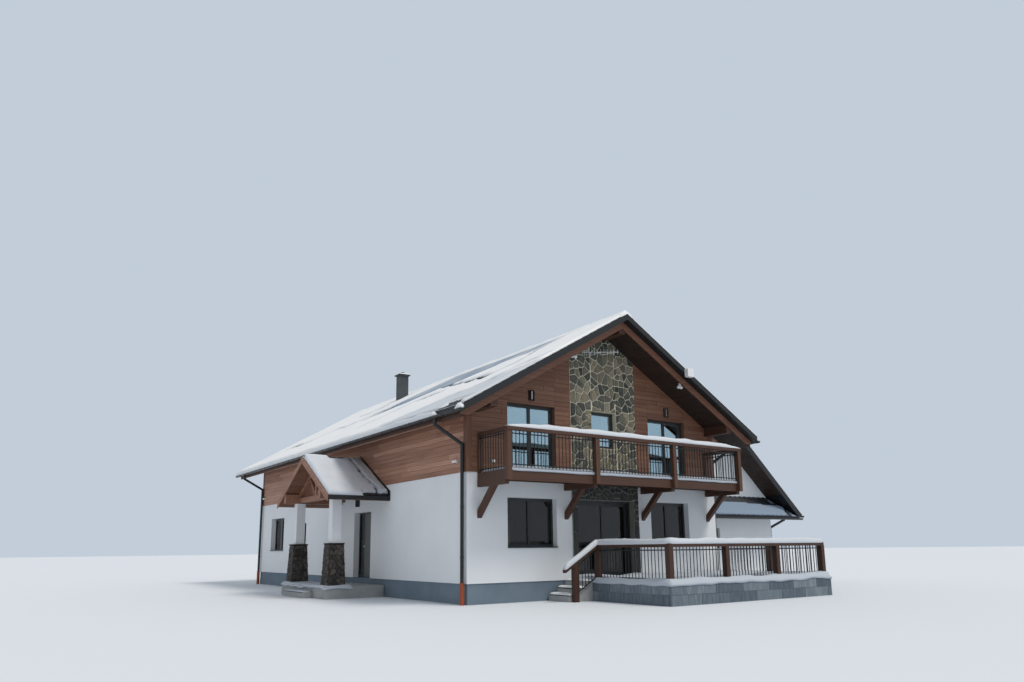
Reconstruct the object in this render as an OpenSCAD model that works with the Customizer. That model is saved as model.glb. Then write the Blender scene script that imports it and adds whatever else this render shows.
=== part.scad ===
// Alpine chalet: plastered ground storey, timber upper storey, stone middle bay,
// balcony, front terrace, porch over the side entrance and a low side wing.
// Origin: middle of the main block's footprint, on the ground. +X to the right of the
// front gable, +Y towards the back, +Z up. Millimetres.

/* [Main block] */
// Width of the main block across the front gable
house_w = 10000; // [8400:100:13000]
// Length of the main block from front gable to back gable
house_l = 18400; // [17000:100:24000]
// Height of the plinth and of the ground floor over the ground
plinth_h = 550; // [400:10:800]
// Height of the plastered ground storey over the plinth
storey_h = 3000; // [2800:10:3400]
// Thickness of the ground storey walls
wall_t = 400; // [300:10:500]
// Thickness of the timber upper walls
timber_t = 300; // [200:10:400]
// How far the plinth stands back behind the plaster
plinth_back = 30; // [10:5:60]
// Thickness of the upper floor
floor_t = 300; // [200:10:400]

/* [Main roof] */
// Pitch of the main roof in degrees
roof_pitch = 30; // [26:1:34]
// Height of the roof's top edge over the outer face of the side wall, above the storey
eave_rise = 2113; // [1900:10:2400]
// How far the eaves stand out from the side walls
eave_over = 870; // [500:10:1200]
// How far the roof stands out over the front gable
front_over = 1300; // [1200:10:1600]
// How far the roof stands out over the back gable
back_over = 1200; // [600:10:1600]
// Thickness of the covering with its battens
cover_t = 160; // [80:5:200]
// Thickness of the timber deck under the covering
deck_t = 130; // [100:5:220]
// Height and width of the purlins
purlin_s = 240; // [160:10:300]
// Thickness of the barge boards
barge_t = 45; // [25:5:60]
// How far the barge boards stand back under the edge of the covering
barge_back = 240; // [60:10:300]
// How far the barge boards hang down under the deck
barge_drop = 80; // [40:5:120]
// Radius of the gutters
gutter_r = 75; // [50:5:90]
// Radius of the downpipes
pipe_r = 50; // [35:5:60]
// Height of the drain standpipes over the ground
drain_h = 580; // [300:10:900]
// Width of the corner boards of the timber storey
corner_w = 140; // [100:5:200]
// Thickness of the corner boards
corner_t = 30; // [25:5:40]

/* [Stone bay] */
// Width of the stone bay in the middle of the front gable
stone_w = 2680; // [2500:10:3000]
// How far the stone stands out in front of the plaster
stone_out = 40; // [20:5:80]
// Width of the terrace door
terrace_door_w = 2300; // [1800:10:2400]
// Height of the terrace door
terrace_door_h = 2330; // [2100:10:2450]
// Width of the window in the stone bay
stone_win_w = 1020; // [700:10:1300]
// Height of the window in the stone bay
stone_win_h = 1150; // [800:10:1300]
// Sill of the window in the stone bay over the upper floor
stone_win_sill = 950; // [700:10:1100]

/* [Windows and doors] */
// Width of the ground storey windows
win_w = 1750; // [1200:10:1900]
// Height of the ground storey windows
win_h = 1410; // [1000:10:1600]
// Sill of the ground storey windows over the floor
win_sill = 930; // [700:10:1100]
// Distance of a front window's middle from the middle of the gable
win_x = 2795; // [2600:5:3000]
// Width of the small window beside the porch
small_win_w = 800; // [500:10:1000]
// Height of the small window beside the porch
small_win_h = 850; // [500:10:1000]
// Width of the upper doors and back windows
upper_door_w = 1720; // [1400:10:1850]
// Height of the upper doors
upper_door_h = 2070; // [1950:10:2150]
// Depth of a window or door frame
frame_d = 80; // [60:5:100]
// Face width of a frame bar
frame_w = 90; // [60:5:110]
// Thickness of the glass
glass_t = 24; // [16:2:40]
// How far frames stand back from the wall's outer face
reveal = 200; // [120:10:210]
// Width of the opening for the entrance door and its side light
entrance_w = 1400; // [1300:10:1600]
// Height of that opening over the floor
entrance_h = 2200; // [2100:10:2350]
// Width of the entrance leaf
leaf_w = 930; // [850:10:1000]
// Thickness of the door leaves
leaf_t = 70; // [50:5:80]
// Width of a wall lamp
lamp_w = 220; // [160:10:260]
// Height of a wall lamp
lamp_h = 300; // [200:10:320]
// Length of the antenna
antenna_l = 1150; // [900:50:1300]

/* [Balcony] */
// How far the balcony stands out from the gable
balcony_d = 1440; // [1100:10:1700]
// Half of the balcony's length, to the middle of its end posts
balcony_half = 4600; // [4200:10:5200]
// Width of the balcony posts, brackets and rail
beam_s = 140; // [100:5:180]
// Height of the rail over the upper floor
rail_h = 1090; // [900:10:1200]

/* [Terrace] */
// Left face of the terrace, from the middle of the house
terrace_x0 = -1450; // [-2000:10:-1400]
// Right face of the terrace, from the middle of the house
terrace_x1 = 5350; // [4500:10:6500]
// Depth of the terrace in front of the house
terrace_d = 3950; // [3000:10:5000]
// Thickness of the terrace walls
terrace_wall_t = 200; // [150:10:300]
// Width of a terrace post
terrace_post = 150; // [100:5:180]
// Height of the terrace rail over its floor
terrace_rail_h = 1000; // [900:10:1100]
// Depth of a step
tread = 300; // [260:5:340]
// Width of the terrace steps
stair_w = 940; // [800:10:1200]

/* [Porch] */
// Middle of the porch, from the middle of the house
porch_y = -2050; // [-2400:10:-1600]
// Half of the porch roof's width
porch_half = 2400; // [2100:10:2700]
// How far the porch roof stands out from the wall
porch_out = 2100; // [1800:10:2600]
// Height of the porch ridge over the plinth
porch_ridge = 4000; // [3800:10:4100]
// Thickness of the porch roof
porch_roof_t = 120; // [90:5:150]
// How far the porch floor reaches out from the wall
porch_floor_out = 1950; // [1900:10:2600]
// Half of the porch floor's width
porch_floor_half = 2050; // [1980:10:2300]
// Half of the width of the step in front of the porch floor
porch_step_half = 1000; // [600:10:1400]
// Height of the porch floor under the ground floor
porch_drop = 180; // [100:10:200]
// Distance of the columns from the wall
column_x = 1550; // [1350:10:1900]
// Distance of each column from the middle of the porch
column_y = 1650; // [1400:10:1900]
// Width of a column
column_w = 300; // [200:10:340]
// Width of a column base at its foot
base_w = 560; // [460:10:640]
// Width of a column base at its head
base_top_w = 440; // [400:10:450]
// Height of a column base over the porch floor
base_h = 1330; // [1000:10:1500]

/* [Side wing] */
// Width of the wing
wing_w = 6500; // [6000:10:7200]
// Length of the wing
wing_l = 8000; // [6500:100:10000]
// How far the wing stands back from the front gable
wing_back = 2600; // [1500:10:3000]
// Thickness of the wing's walls
wing_t = 300; // [240:10:360]
// Pitch of the wing's roof in degrees
wing_pitch = 41; // [38:1:43]
// Height of the wing's ridge over the plinth
wing_ridge = 5870; // [5600:10:6000]
// How far the wing's eave stands out
wing_over = 990; // [700:10:1100]
// Thickness of the wing's roof
wing_roof_t = 230; // [160:10:280]
// Thickness of the wing's floor
wing_floor_t = 150; // [100:10:250]
// How far the wing's roof and its pent roof stand out over the wing's front wall
wing_front_over = 850; // [600:10:950]
// Height of the pent roof's upper edge over the plinth
pent_top_h = 2900; // [2850:10:3000]
// Fall of the pent roof from the wall to its eave
pent_drop = 800; // [600:10:900]
// Thickness of the pent roof
pent_t = 140; // [100:5:180]

/* [Hidden] */

// Small distances that pieces keep from each other
seat = 0.3;
run_gap = 5;
far = 60000;

hw = house_w / 2;
hl = house_l / 2;
z_up = plinth_h + storey_h;
in_x = hw - wall_t;
in_y = hl - wall_t;
tan_r = tan(roof_pitch);
cos_r = cos(roof_pitch);
// Height of the roof's top face at the middle, and vertical thickness of its layers
z_wall_top = z_up + eave_rise;
z_ridge = z_wall_top + hw * tan_r;
cover_v = cover_t / cos_r;
deck_v = deck_t / cos_r;
roof_v = cover_v + deck_v;
half_span = hw + eave_over;

// Top of a wall or beam at distance x from the middle, under the deck
function under_deck(x) = z_ridge - abs(x) * tan_r - roof_v - seat;

module block(a, b) {
    translate(a) cube([b[0] - a[0], b[1] - a[1], b[2] - a[2]]);
}

// Profile in X and Z drawn along Y from y0 to y1
module along_y(y0, y1, points) {
    translate([0, y1, 0]) rotate([90, 0, 0]) linear_extrude(y1 - y0) polygon(points);
}

// Profile in Y and Z drawn along X from x0 to x1
module along_x(x0, x1, points) {
    translate([x0, 0, 0]) rotate([90, 0, 90]) linear_extrude(x1 - x0) polygon(points);
}

// Round bar from point a to point b, with round ends
module bar(a, b, r) {
    d = b - a;
    length = norm(d);
    translate(a) rotate([0, acos(d[2] / length), atan2(d[1], d[0])])
        cylinder(h = length, r = r, $fn = 16);
}

// How far an elbow stands out around its pipe
elbow_out = 4;

module pipe(points, r) {
    for (i = [0 : len(points) - 2]) bar(points[i], points[i + 1], r);
    for (i = [1 : len(points) - 2]) translate(points[i]) sphere(r = r + elbow_out, $fn = 24);
}

// Ground storey openings. Each is [middle, sill over the floor, width, height].
front_holes = [[-win_x, win_sill, win_w, win_h], [win_x, win_sill, win_w, win_h]];
back_holes = [[-win_x, win_sill, win_w, win_h], [0, win_sill, win_w, win_h],
    [win_x, win_sill, win_w, win_h]];
small_win_y = porch_y + 5700;
far_win_y = hl - 2325;
left_holes = [[small_win_y, win_sill + win_h - 310 - small_win_h, small_win_w, small_win_h],
    [far_win_y, win_sill, win_w, win_h]];
right_holes = [[hl - 2325, win_sill, win_w, win_h], [hl - 5600, win_sill, win_w, win_h]];
entrance_y0 = porch_y - 950;
entrance_y1 = entrance_y0 + entrance_w;
entrance_top = plinth_h + entrance_h;

// Upper storey openings, with their sills over the upper floor
upper_front_holes = [[-win_x, 0, upper_door_w, upper_door_h], [win_x, 0, upper_door_w, upper_door_h]];
stone_hole = [0, stone_win_sill, stone_win_w, stone_win_h];
upper_back_holes = [[-win_x, 700, upper_door_w, upper_door_h - 700],
    [win_x, 700, upper_door_w, upper_door_h - 700]];

// Cutter for an opening in a wall that faces along Y
module hole_y(h, floor_z, y0, y1, shrink = 0) {
    block([h[0] - h[2] / 2 + shrink, y0, floor_z + h[1] + shrink],
        [h[0] + h[2] / 2 - shrink, y1, floor_z + h[1] + h[3] - shrink]);
}

// The same in a wall that faces along X
module hole_x(h, floor_z, x0, x1, shrink = 0) {
    block([x0, h[0] - h[2] / 2 + shrink, floor_z + h[1] + shrink],
        [x1, h[0] + h[2] / 2 - shrink, floor_z + h[1] + h[3] - shrink]);
}

module plinth() {
    color("#8d9296") difference() {
        block([-hw + plinth_back, -hl + plinth_back, 0], [hw - plinth_back, hl - plinth_back, plinth_h]);
        block([-in_x, -in_y, -1], [in_x, in_y, plinth_h + 1]);
    }
}

module ground_slab() {
    color("#a8a49c") block([-in_x, -in_y, 0], [in_x, in_y, plinth_h]);
}

// Plastered wall on each side of the stone bay
module front_walls() {
    color("#e9ebee") difference() {
        for (s = [0, 1]) mirror([s, 0, 0]) block([stone_w / 2, -hl, plinth_h], [hw, -in_y, z_up]);
        for (h = front_holes) hole_y(h, plinth_h, -hl - 1, -in_y + 1);
    }
}

module stone_wall_lower() {
    color("#7b7a68") difference() {
        block([-stone_w / 2, -hl - stone_out, plinth_h], [stone_w / 2, -in_y, z_up]);
        block([-terrace_door_w / 2, -hl - stone_out - 1, plinth_h - 1],
            [terrace_door_w / 2, -in_y + 1, plinth_h + terrace_door_h]);
    }
}

module left_wall_front() {
    color("#e9ebee") block([-hw, -in_y, plinth_h], [-in_x, entrance_y0, z_up]);
}

module left_wall_back() {
    color("#e9ebee") difference() {
        block([-hw, entrance_y1, plinth_h], [-in_x, in_y, z_up]);
        for (h = left_holes) hole_x(h, plinth_h, -hw - 1, -in_x + 1);
    }
}

module left_wall_lintel() {
    color("#e9ebee") block([-hw, entrance_y0, entrance_top], [-in_x, entrance_y1, z_up]);
}

module right_wall() {
    color("#e9ebee") difference() {
        block([in_x, -in_y, plinth_h], [hw, in_y, z_up]);
        for (h = right_holes) hole_x(h, plinth_h, in_x - 1, hw + 1);
    }
}

module back_wall() {
    color("#e9ebee") difference() {
        block([-hw, in_y, plinth_h], [hw, hl, z_up]);
        for (h = back_holes) hole_y(h, plinth_h, in_y - 1, hl + 1);
    }
}

module upper_floor() {
    color("#b08a5e") block([-in_x, -in_y, z_up - floor_t], [in_x, in_y, z_up]);
}

// Gable wall between x0 and x1, cut under the deck, with notches for the purlins
module gable(x0, x1, y0, y1) {
    crown = x0 < 0 && x1 > 0 ? [[0, under_deck(0)]] : [];
    difference() {
        along_y(y0, y1, concat([[x0, z_up], [x1, z_up], [x1, under_deck(x1)]], crown,
            [[x0, under_deck(x0)]]));
        for (p = purlin_places) purlin(p, seat);
    }
}

timber_in = hl - timber_t;

module upper_front_walls() {
    color("#8a4f33") difference() {
        for (s = [0, 1]) mirror([s, 0, 0]) gable(stone_w / 2, hw, -hl, -timber_in);
        for (h = upper_front_holes) hole_y(h, z_up, -hl - 1, -timber_in + 1);
    }
}

module stone_wall_upper() {
    color("#7b7a68") difference() {
        gable(-stone_w / 2, stone_w / 2, -hl - stone_out, -timber_in);
        hole_y(stone_hole, z_up, -hl - stone_out - 1, -timber_in + 1);
    }
}

module upper_side_wall(side) {
    x0 = hw - timber_t;
    color("#8a4f33") mirror([side > 0 ? 0 : 1, 0, 0]) difference() {
        along_y(-timber_in, timber_in,
            [[x0, z_up], [hw, z_up], [hw, under_deck(hw)], [x0, under_deck(x0)]]);
        purlin(purlin_places[2], seat);
    }
}

module upper_left_wall() { upper_side_wall(-1); }
module upper_right_wall() { upper_side_wall(1); }

module upper_back_wall() {
    color("#8a4f33") difference() {
        gable(-hw, hw, timber_in, hl);
        for (h = upper_back_holes) hole_y(h, z_up, timber_in - 1, hl + 1);
    }
}

// One layer of the main roof on the right side: top is measured down from the roof's face
module roof_layer(top, bottom, y0, y1, out) {
    along_y(y0, y1, [[0, z_ridge - top], [out, z_ridge - top - out * tan_r],
        [out, z_ridge - bottom - out * tan_r], [0, z_ridge - bottom]]);
}

deck_out = half_span - 40;
// Height of the level-cut tail of a barge board
barge_tail = 90;

module roof_deck() {
    back = barge_back + barge_t;
    color("#6b3f28") for (s = [0, 1]) mirror([s, 0, 0])
        roof_layer(cover_v + seat, roof_v, -hl - front_over + back, hl + back_over - back, deck_out);
}

module roof_cover() {
    color("#26292c") for (s = [0, 1]) mirror([s, 0, 0])
        roof_layer(0, cover_v, -hl - front_over, hl + back_over, half_span);
}

// Pair of boards under the covering, their tails cut off level at the eaves
module barge_pair(y0, y1) {
    top = cover_v + seat;
    foot = roof_v + barge_drop;
    z_tail = z_ridge - top - deck_out * tan_r - barge_tail;
    tail_x = (z_ridge - foot - z_tail) / tan_r;
    along_y(y0, y1, [[0, z_ridge - top], [deck_out, z_tail + barge_tail], [deck_out, z_tail],
        [tail_x, z_tail], [0, z_ridge - foot], [-tail_x, z_tail], [-deck_out, z_tail],
        [-deck_out, z_tail + barge_tail]]);
}

module barge_boards() {
    color("#8a4f33") {
        barge_pair(-hl - front_over + barge_back, -hl - front_over + barge_back + barge_t);
        barge_pair(hl + back_over - barge_back - barge_t, hl + back_over - barge_back);
    }
}

// Purlins: ridge, and one over each side wall. Each is the distance of its middle.
purlin_places = [0, -(hw - purlin_s), hw - purlin_s];

module purlin(x, grow = 0) {
    top_mid = under_deck(x);
    half = purlin_s / 2;
    back = barge_back + barge_t + seat;
    slope = x == 0 ? 0 : tan_r * sign(x) * half;
    foot = top_mid - purlin_s - grow;
    along_y(-hl - front_over + back - grow, hl + back_over - back + grow,
        x == 0
        ? [[-half - grow, top_mid - half * tan_r + grow], [0, top_mid + grow],
            [half + grow, top_mid - half * tan_r + grow], [half + grow, foot], [-half - grow, foot]]
        : [[x - half - grow, top_mid + slope + grow], [x + half + grow, top_mid - slope + grow],
            [x + half + grow, foot], [x - half - grow, foot]]);
}

module purlins() {
    color("#8a4f33") for (p = purlin_places) purlin(p);
}

// Half-round gutter along Y, from y0 to y1, with closed ends
gutter_t = 4;

module gutter_y(x, z, y0, y1) {
    translate([x, y1, z]) rotate([90, 0, 0]) half_gutter(y1 - y0);
}

module half_gutter(length) {
    difference() {
        cylinder(h = length, r = gutter_r, $fn = 24);
        translate([0, 0, gutter_t]) cylinder(h = length - 2 * gutter_t, r = gutter_r - gutter_t, $fn = 24);
        translate([-2 * gutter_r, 0, -1]) cube([4 * gutter_r, 2 * gutter_r, length + 2]);
    }
}

gutter_x0 = half_span + gutter_r + seat;
gutter_z = z_ridge - half_span * tan_r - cover_v + gutter_r / 2;
wing_x1 = hw + wing_w;
wing_y0 = -hl + wing_back;
wing_y1 = wing_y0 + wing_l;
wing_mid = hw + wing_w / 2;
tan_w = tan(wing_pitch);
wing_v = wing_roof_t / cos(wing_pitch);
z_wing = plinth_h + wing_ridge;
wing_half = wing_w / 2 + wing_over;
wing_eave_z = z_wing - wing_half * tan_w;
pent_y = wing_y0 - wing_front_over;
wing_back_over = 600;
// Height of the wing roof's edge at its eave, cut off level behind
wing_tail = 90;
wing_gutter_x = wing_mid + wing_half + gutter_r + seat;
wing_gutter_z = wing_eave_z - wing_tail / 2;

module gutters() {
    color("#1b1d1f") {
        for (s = [-1, 1])
            gutter_y(s * gutter_x0, gutter_z, -hl - front_over, hl + back_over);
        gutter_y(wing_gutter_x, wing_gutter_z, pent_y, wing_y1 + wing_back_over);
        translate([hw + seat, pent_y - gutter_r - seat, pent_top - pent_drop - pent_t / 2])
            rotate([90, 0, 90]) half_gutter(wing_w + wing_over - 2 * gutter_r);
    }
}

// Length of the outlet under a gutter, and fall of the swan neck for each unit that it runs,
// on the main roof and on the wing
outlet_l = 160;
neck_fall = 0.55;
wing_outlet_l = 60;
wing_neck_fall = 0.35;
pipe_off = pipe_r + corner_t + 10;
// The downpipes end in drain standpipes, seated this deep in their sockets
drain_r = pipe_r + 14;
socket_d = 60;
pipe_foot = drain_h - socket_d + seat;
pipe_in = 110;

// Downpipe beside a wall at x, turned out to the gutter at gx by a swan neck
module downpipe(x, gx, y, gz, outlet = outlet_l, fall = neck_fall) {
    z_out = gz - gutter_r - outlet;
    difference() {
        pipe([[gx, y, gz - gutter_r / 2], [gx, y, z_out], [x, y, z_out - abs(gx - x) * fall],
            [x, y, pipe_foot]], pipe_r);
        translate([gx, y, gz]) rotate([90, 0, 0])
            cylinder(h = 4 * pipe_r, r = gutter_r + seat, center = true, $fn = 24);
    }
}

module downpipes() {
    color("#1b1d1f") {
        for (s = [-1, 1], t = [-1, 1])
            downpipe(s * (hw + pipe_off), s * gutter_x0, t * (hl - pipe_in), gutter_z);
        downpipe(wing_x1 + pipe_off, wing_gutter_x, wing_y0 + pipe_in, wing_gutter_z,
            wing_outlet_l, wing_neck_fall);
    }
}

// Standpipe with a socket that takes the foot of a downpipe
module drain_pipe(x, y) {
    translate([x, y, 0]) difference() {
        cylinder(h = drain_h, r = drain_r, $fn = 32);
        translate([0, 0, drain_h - socket_d]) cylinder(h = socket_d + 1, r = pipe_r + seat, $fn = 32);
    }
}

module drain_pipes() {
    color("#a24b26") {
        for (s = [-1, 1], t = [-1, 1]) drain_pipe(s * (hw + pipe_off), t * (hl - pipe_in));
        drain_pipe(wing_x1 + pipe_off, wing_y0 + pipe_in);
    }
}

chimney_x = -900;
chimney_y = 3100;
chimney_w = 400;
chimney_top = z_ridge + 560;
chimney_lip = 60;
cap_t = 60;
flue_r = 90;
flue_h = 120;

module chimney() {
    half = chimney_w / 2;
    cap = half + chimney_lip;
    color("#33363a") translate([chimney_x, chimney_y, 0]) {
        difference() {
            block([-half, -half, z_ridge - 1200], [half, half, chimney_top]);
            translate([-chimney_x, 0, 0]) mirror([1, 0, 0])
                along_y(-far, far, [[-far, -far], [far, -far], [far, z_ridge - far * tan_r + seat],
                    [0, z_ridge + seat], [-far, z_ridge + far * tan_r + seat]]);
        }
        block([-cap, -cap, chimney_top], [cap, cap, chimney_top + cap_t]);
        translate([0, 0, chimney_top + cap_t]) cylinder(h = flue_h, r = flue_r, $fn = 24);
    }
}

// Balcony
by0 = -hl - balcony_d;
rim_z0 = z_up - 315;
rim_z1 = z_up - 30;
bracket_top = z_up - 215;
bracket_h = 200;
rail_z0 = z_up + rail_h - 100;
// Knee braces: how far they stand out, their reach down the wall and their depth
brace_out = 840;
brace_foot = z_up - 1260;
brace_h = 220;
// Joists under the deck
joist_w = 60;
joist_step = 380;
notch = 30;
bracket_x = [-balcony_half, -balcony_half * 0.34, balcony_half * 0.34, balcony_half];
rim_t = 65;
deck_board = 40;
z_deck = z_up - 30;
rim_y = by0 + 60;
wall_post_t = 60;

module balcony_frame() {
    half = beam_s / 2;
    end = balcony_half + half;
    joist_y = rim_y + rim_t + joist_w;
    color("#3f2a20") {
        for (x = bracket_x) {
            y_wall = abs(x) < stone_w / 2 ? -hl - stone_out : -hl;
            low = bracket_top - bracket_h;
            block([x - half, rim_y + notch, low], [x + half, y_wall, bracket_top]);
            along_x(x - half, x + half, [[y_wall, brace_foot], [y_wall, brace_foot + brace_h],
                [y_wall - brace_out + brace_h, low], [y_wall - brace_out, low]]);
        }
        for (i = [0 : 3]) block([-balcony_half, joist_y + i * joist_step, bracket_top],
            [balcony_half, joist_y + i * joist_step + joist_w, z_deck - deck_board]);
        difference() {
            block([-end, rim_y, rim_z0], [end, rim_y + rim_t, rim_z1]);
            for (x = bracket_x) block([x - half - seat, rim_y - 1, rim_z0 - 1],
                [x + half + seat, rim_y + notch, rim_z1 + 1]);
        }
        for (s = [0, 1]) mirror([s, 0, 0])
            block([balcony_half, rim_y + rim_t, rim_z0], [balcony_half + rim_t, -hl, rim_z1]);
    }
}

module balcony_deck() {
    color("#5a3c2a") block([-balcony_half, rim_y + rim_t, z_deck - deck_board],
        [balcony_half, -hl - stone_out, z_deck]);
}

// Posts in front of the rim, and half posts on the wall that end the side rails
module balcony_posts() {
    half = beam_s / 2;
    color("#6b3f28") {
        for (x = bracket_x)
            block([x - half, by0 - 60, rim_z0], [x + half, rim_y + notch - seat, rail_z0]);
        for (s = [0, 1]) mirror([s, 0, 0])
            block([balcony_half - half, -hl - wall_post_t, z_deck], [balcony_half + half, -hl, rail_z0]);
    }
}

module balcony_rail() {
    half = beam_s / 2;
    end = balcony_half + half + 20;
    color("#4a3024") {
        block([-end, by0 - 80, rail_z0], [end, by0 + 60, z_up + rail_h]);
        for (s = [0, 1]) mirror([s, 0, 0])
            block([balcony_half - half, by0 + 60, rail_z0], [balcony_half + half, -hl, z_up + rail_h]);
    }
}

// Row of thin square bars between two rails, from a to b on one line along X or along Y
module baluster_row(a, b, z0, z1, step = 120, bar_s = 16, rail_s = 20) {
    count = floor(norm(b - a) / step);
    grow = abs(a[0] - b[0]) < 1 ? [rail_s / 2, 0] : [0, rail_s / 2];
    lo = [min(a[0], b[0]), min(a[1], b[1])] - grow;
    hi = [max(a[0], b[0]), max(a[1], b[1])] + grow;
    for (i = [0.5 : count - 0.5]) {
        p = a + (b - a) * i / count;
        translate([p[0], p[1], (z0 + z1) / 2]) cube([bar_s, bar_s, z1 - z0], center = true);
    }
    for (z = [z0 + 60, z1 - 90]) block([lo[0], lo[1], z], [hi[0], hi[1], z + 30]);
}

module balcony_balusters() {
    row_y = by0 + 20;
    row_x = balcony_half + 30;
    off = beam_s / 2 + seat;
    color("#17181a") {
        for (i = [0 : 2]) baluster_row([bracket_x[i] + off, row_y], [bracket_x[i + 1] - off, row_y],
            z_up + 20, rail_z0);
        for (s = [-1, 1]) baluster_row([s * row_x, rim_y + 60], [s * row_x, -hl - wall_post_t - seat],
            rim_z1, rail_z0);
    }
}

// How far a pane stands back in its frame
pane_in = 30;

// The two lights of a frame with a middle bar, or the one of a frame without, from y0 to y1
module lights_y(h, floor_z, y0, y1, mullion) {
    if (mullion) {
        light = [h[0], h[1] + frame_w, h[2] / 2 - frame_w * 1.25, h[3] - 2 * frame_w];
        for (s = [-1, 1]) translate([s * (h[2] / 4 - frame_w / 8), 0, 0]) hole_y(light, floor_z, y0, y1);
    } else hole_y(h, floor_z, y0, y1, frame_w);
}

module frame_y(h, floor_z, y, mullion = true) {
    difference() {
        hole_y(h, floor_z, y, y + frame_d);
        lights_y(h, floor_z, y - 1, y + frame_d + 1, mullion);
    }
}

module glass_y(h, floor_z, y, mullion = true) {
    lights_y(h, floor_z, y + pane_in, y + pane_in + glass_t, mullion);
}

module turned(x_face) {
    translate([x_face, 0, 0]) rotate([0, 0, 90]) children();
}

y_front_frame = -hl + reveal;
y_back_frame = hl - reveal - frame_d;
upper_reveal = 120;
wing_reveal = 120;
y_upper_frame = -hl + upper_reveal;
y_upper_back = hl - upper_reveal - frame_d;

module window_frames() {
    color("#2b2e31") {
        for (h = front_holes) frame_y(h, plinth_h, y_front_frame);
        for (h = back_holes) frame_y(h, plinth_h, y_back_frame);
        for (h = left_holes) turned(-hw + reveal + frame_d) frame_y(h, plinth_h, 0, h[2] > 1000);
        for (h = right_holes) turned(hw - reveal) frame_y(h, plinth_h, 0, h[2] > 1000);
        frame_y(wing_hole, plinth_h, wing_y0 + wing_reveal, false);
        for (h = upper_front_holes) frame_y(h, z_up, y_upper_frame);
        frame_y(stone_hole, z_up, y_upper_frame, false);
        for (h = upper_back_holes) frame_y(h, z_up, y_upper_back);
    }
}

module window_glass() {
    color("#3d4a55") {
        for (h = front_holes) glass_y(h, plinth_h, y_front_frame);
        for (h = back_holes) glass_y(h, plinth_h, y_back_frame);
        for (h = left_holes) turned(-hw + reveal + frame_d) glass_y(h, plinth_h, 0, h[2] > 1000);
        for (h = right_holes) turned(hw - reveal) glass_y(h, plinth_h, 0, h[2] > 1000);
        glass_y(wing_hole, plinth_h, wing_y0 + wing_reveal, false);
        for (h = upper_front_holes) glass_y(h, z_up, y_upper_frame);
        glass_y(stone_hole, z_up, y_upper_frame, false);
        for (h = upper_back_holes) glass_y(h, z_up, y_upper_back);
        leaf_pane(-door_half + slide_jamb, slide_mid, ty0 + slide_in, plinth_h + track_h,
            door_top - slide_jamb);
        block([ex0 + pane_in, post_y1, plinth_h + side_light_z],
            [ex0 + pane_in + glass_t, entrance_y1 - jamb, leaf_z1 + run_gap]);
    }
}

sill_t = 30;

module window_sills() {
    color("#2b2e31") {
        for (h = front_holes) sill_y(h, -hl - 40, y_front_frame);
        for (h = back_holes) sill_y(h, y_back_frame + frame_d, hl + 40);
        for (h = left_holes) sill_x(h, -hw - 40, -hw + reveal);
        for (h = right_holes) sill_x(h, hw - reveal, hw + 40);
    }
}

module sill_y(h, y0, y1) {
    z = plinth_h + h[1];
    block([h[0] - h[2] / 2, y0, z], [h[0] + h[2] / 2, y1, z + sill_t]);
}

module sill_x(h, x0, x1) {
    z = plinth_h + h[1];
    block([x0, h[0] - h[2] / 2, z], [x1, h[0] + h[2] / 2, z + sill_t]);
}

// Terrace door: a fixed leaf on the left, a sliding leaf on the right behind it
slide_frame_d = 180;
ty0 = -hl + reveal - 20;
door_half = terrace_door_w / 2;
door_top = plinth_h + terrace_door_h;
track_h = 30;
slide_jamb = 60;
slide_in = 15;
stile = 95;
slide_mid = 50;
slide_y = ty0 + slide_in + leaf_t + run_gap;
slide_x1 = door_half - slide_jamb - run_gap;
slide_z0 = plinth_h + track_h + run_gap;
slide_z1 = door_top - slide_jamb - run_gap;

module glazed_leaf(x0, x1, y0, z0, z1) {
    difference() {
        block([x0, y0, z0], [x1, y0 + leaf_t, z1]);
        leaf_opening(x0, x1, y0 - 1, y0 + leaf_t + 1, z0, z1);
    }
}

module leaf_opening(x0, x1, y0, y1, z0, z1) {
    block([x0 + stile, y0, z0 + stile], [x1 - stile, y1, z1 - stile]);
}

module leaf_pane(x0, x1, y0, z0, z1) {
    leaf_opening(x0, x1, y0 + (leaf_t - glass_t) / 2, y0 + (leaf_t + glass_t) / 2, z0, z1);
}

module terrace_door_frame() {
    inner = door_half - slide_jamb;
    color("#2b2e31") {
        difference() {
            block([-door_half, ty0, plinth_h], [door_half, ty0 + slide_frame_d, door_top]);
            block([-inner, ty0 - 1, plinth_h + track_h],
                [inner, ty0 + slide_frame_d + 1, door_top - slide_jamb]);
        }
        glazed_leaf(-inner, slide_mid, ty0 + slide_in, plinth_h + track_h, door_top - slide_jamb);
    }
}

// Sliding leaf on two rollers in the track, with a pull on its inner face
module terrace_door_leaf() {
    y = slide_y + leaf_t / 2;
    color("#2b2e31") {
        for (x = [120, door_half - 300])
            block([x, y - 10, plinth_h + track_h + seat], [x + 120, y + 10, slide_z0]);
        glazed_leaf(-slide_mid, slide_x1, slide_y, slide_z0, slide_z1);
        block([slide_x1 - 70, slide_y + leaf_t, plinth_h + 950],
            [slide_x1 - 40, slide_y + leaf_t + 40, plinth_h + 1150]);
    }
}

module terrace_leaf_glass() {
    color("#3d4a55") leaf_pane(-slide_mid, slide_x1, slide_y, slide_z0, slide_z1);
}

// Entrance: frame with a fixed side light, and the leaf that opens inwards
ex0 = -hw + reveal;
jamb = 60;
leaf_y0 = entrance_y0 + jamb + run_gap;
leaf_y1 = leaf_y0 + leaf_w;
post_y1 = leaf_y1 + run_gap + jamb;
leaf_z0 = plinth_h + 20 + run_gap;
leaf_z1 = entrance_top - jamb - run_gap;
leaf_x0 = ex0 + 10;
side_light_z = 100;

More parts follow.
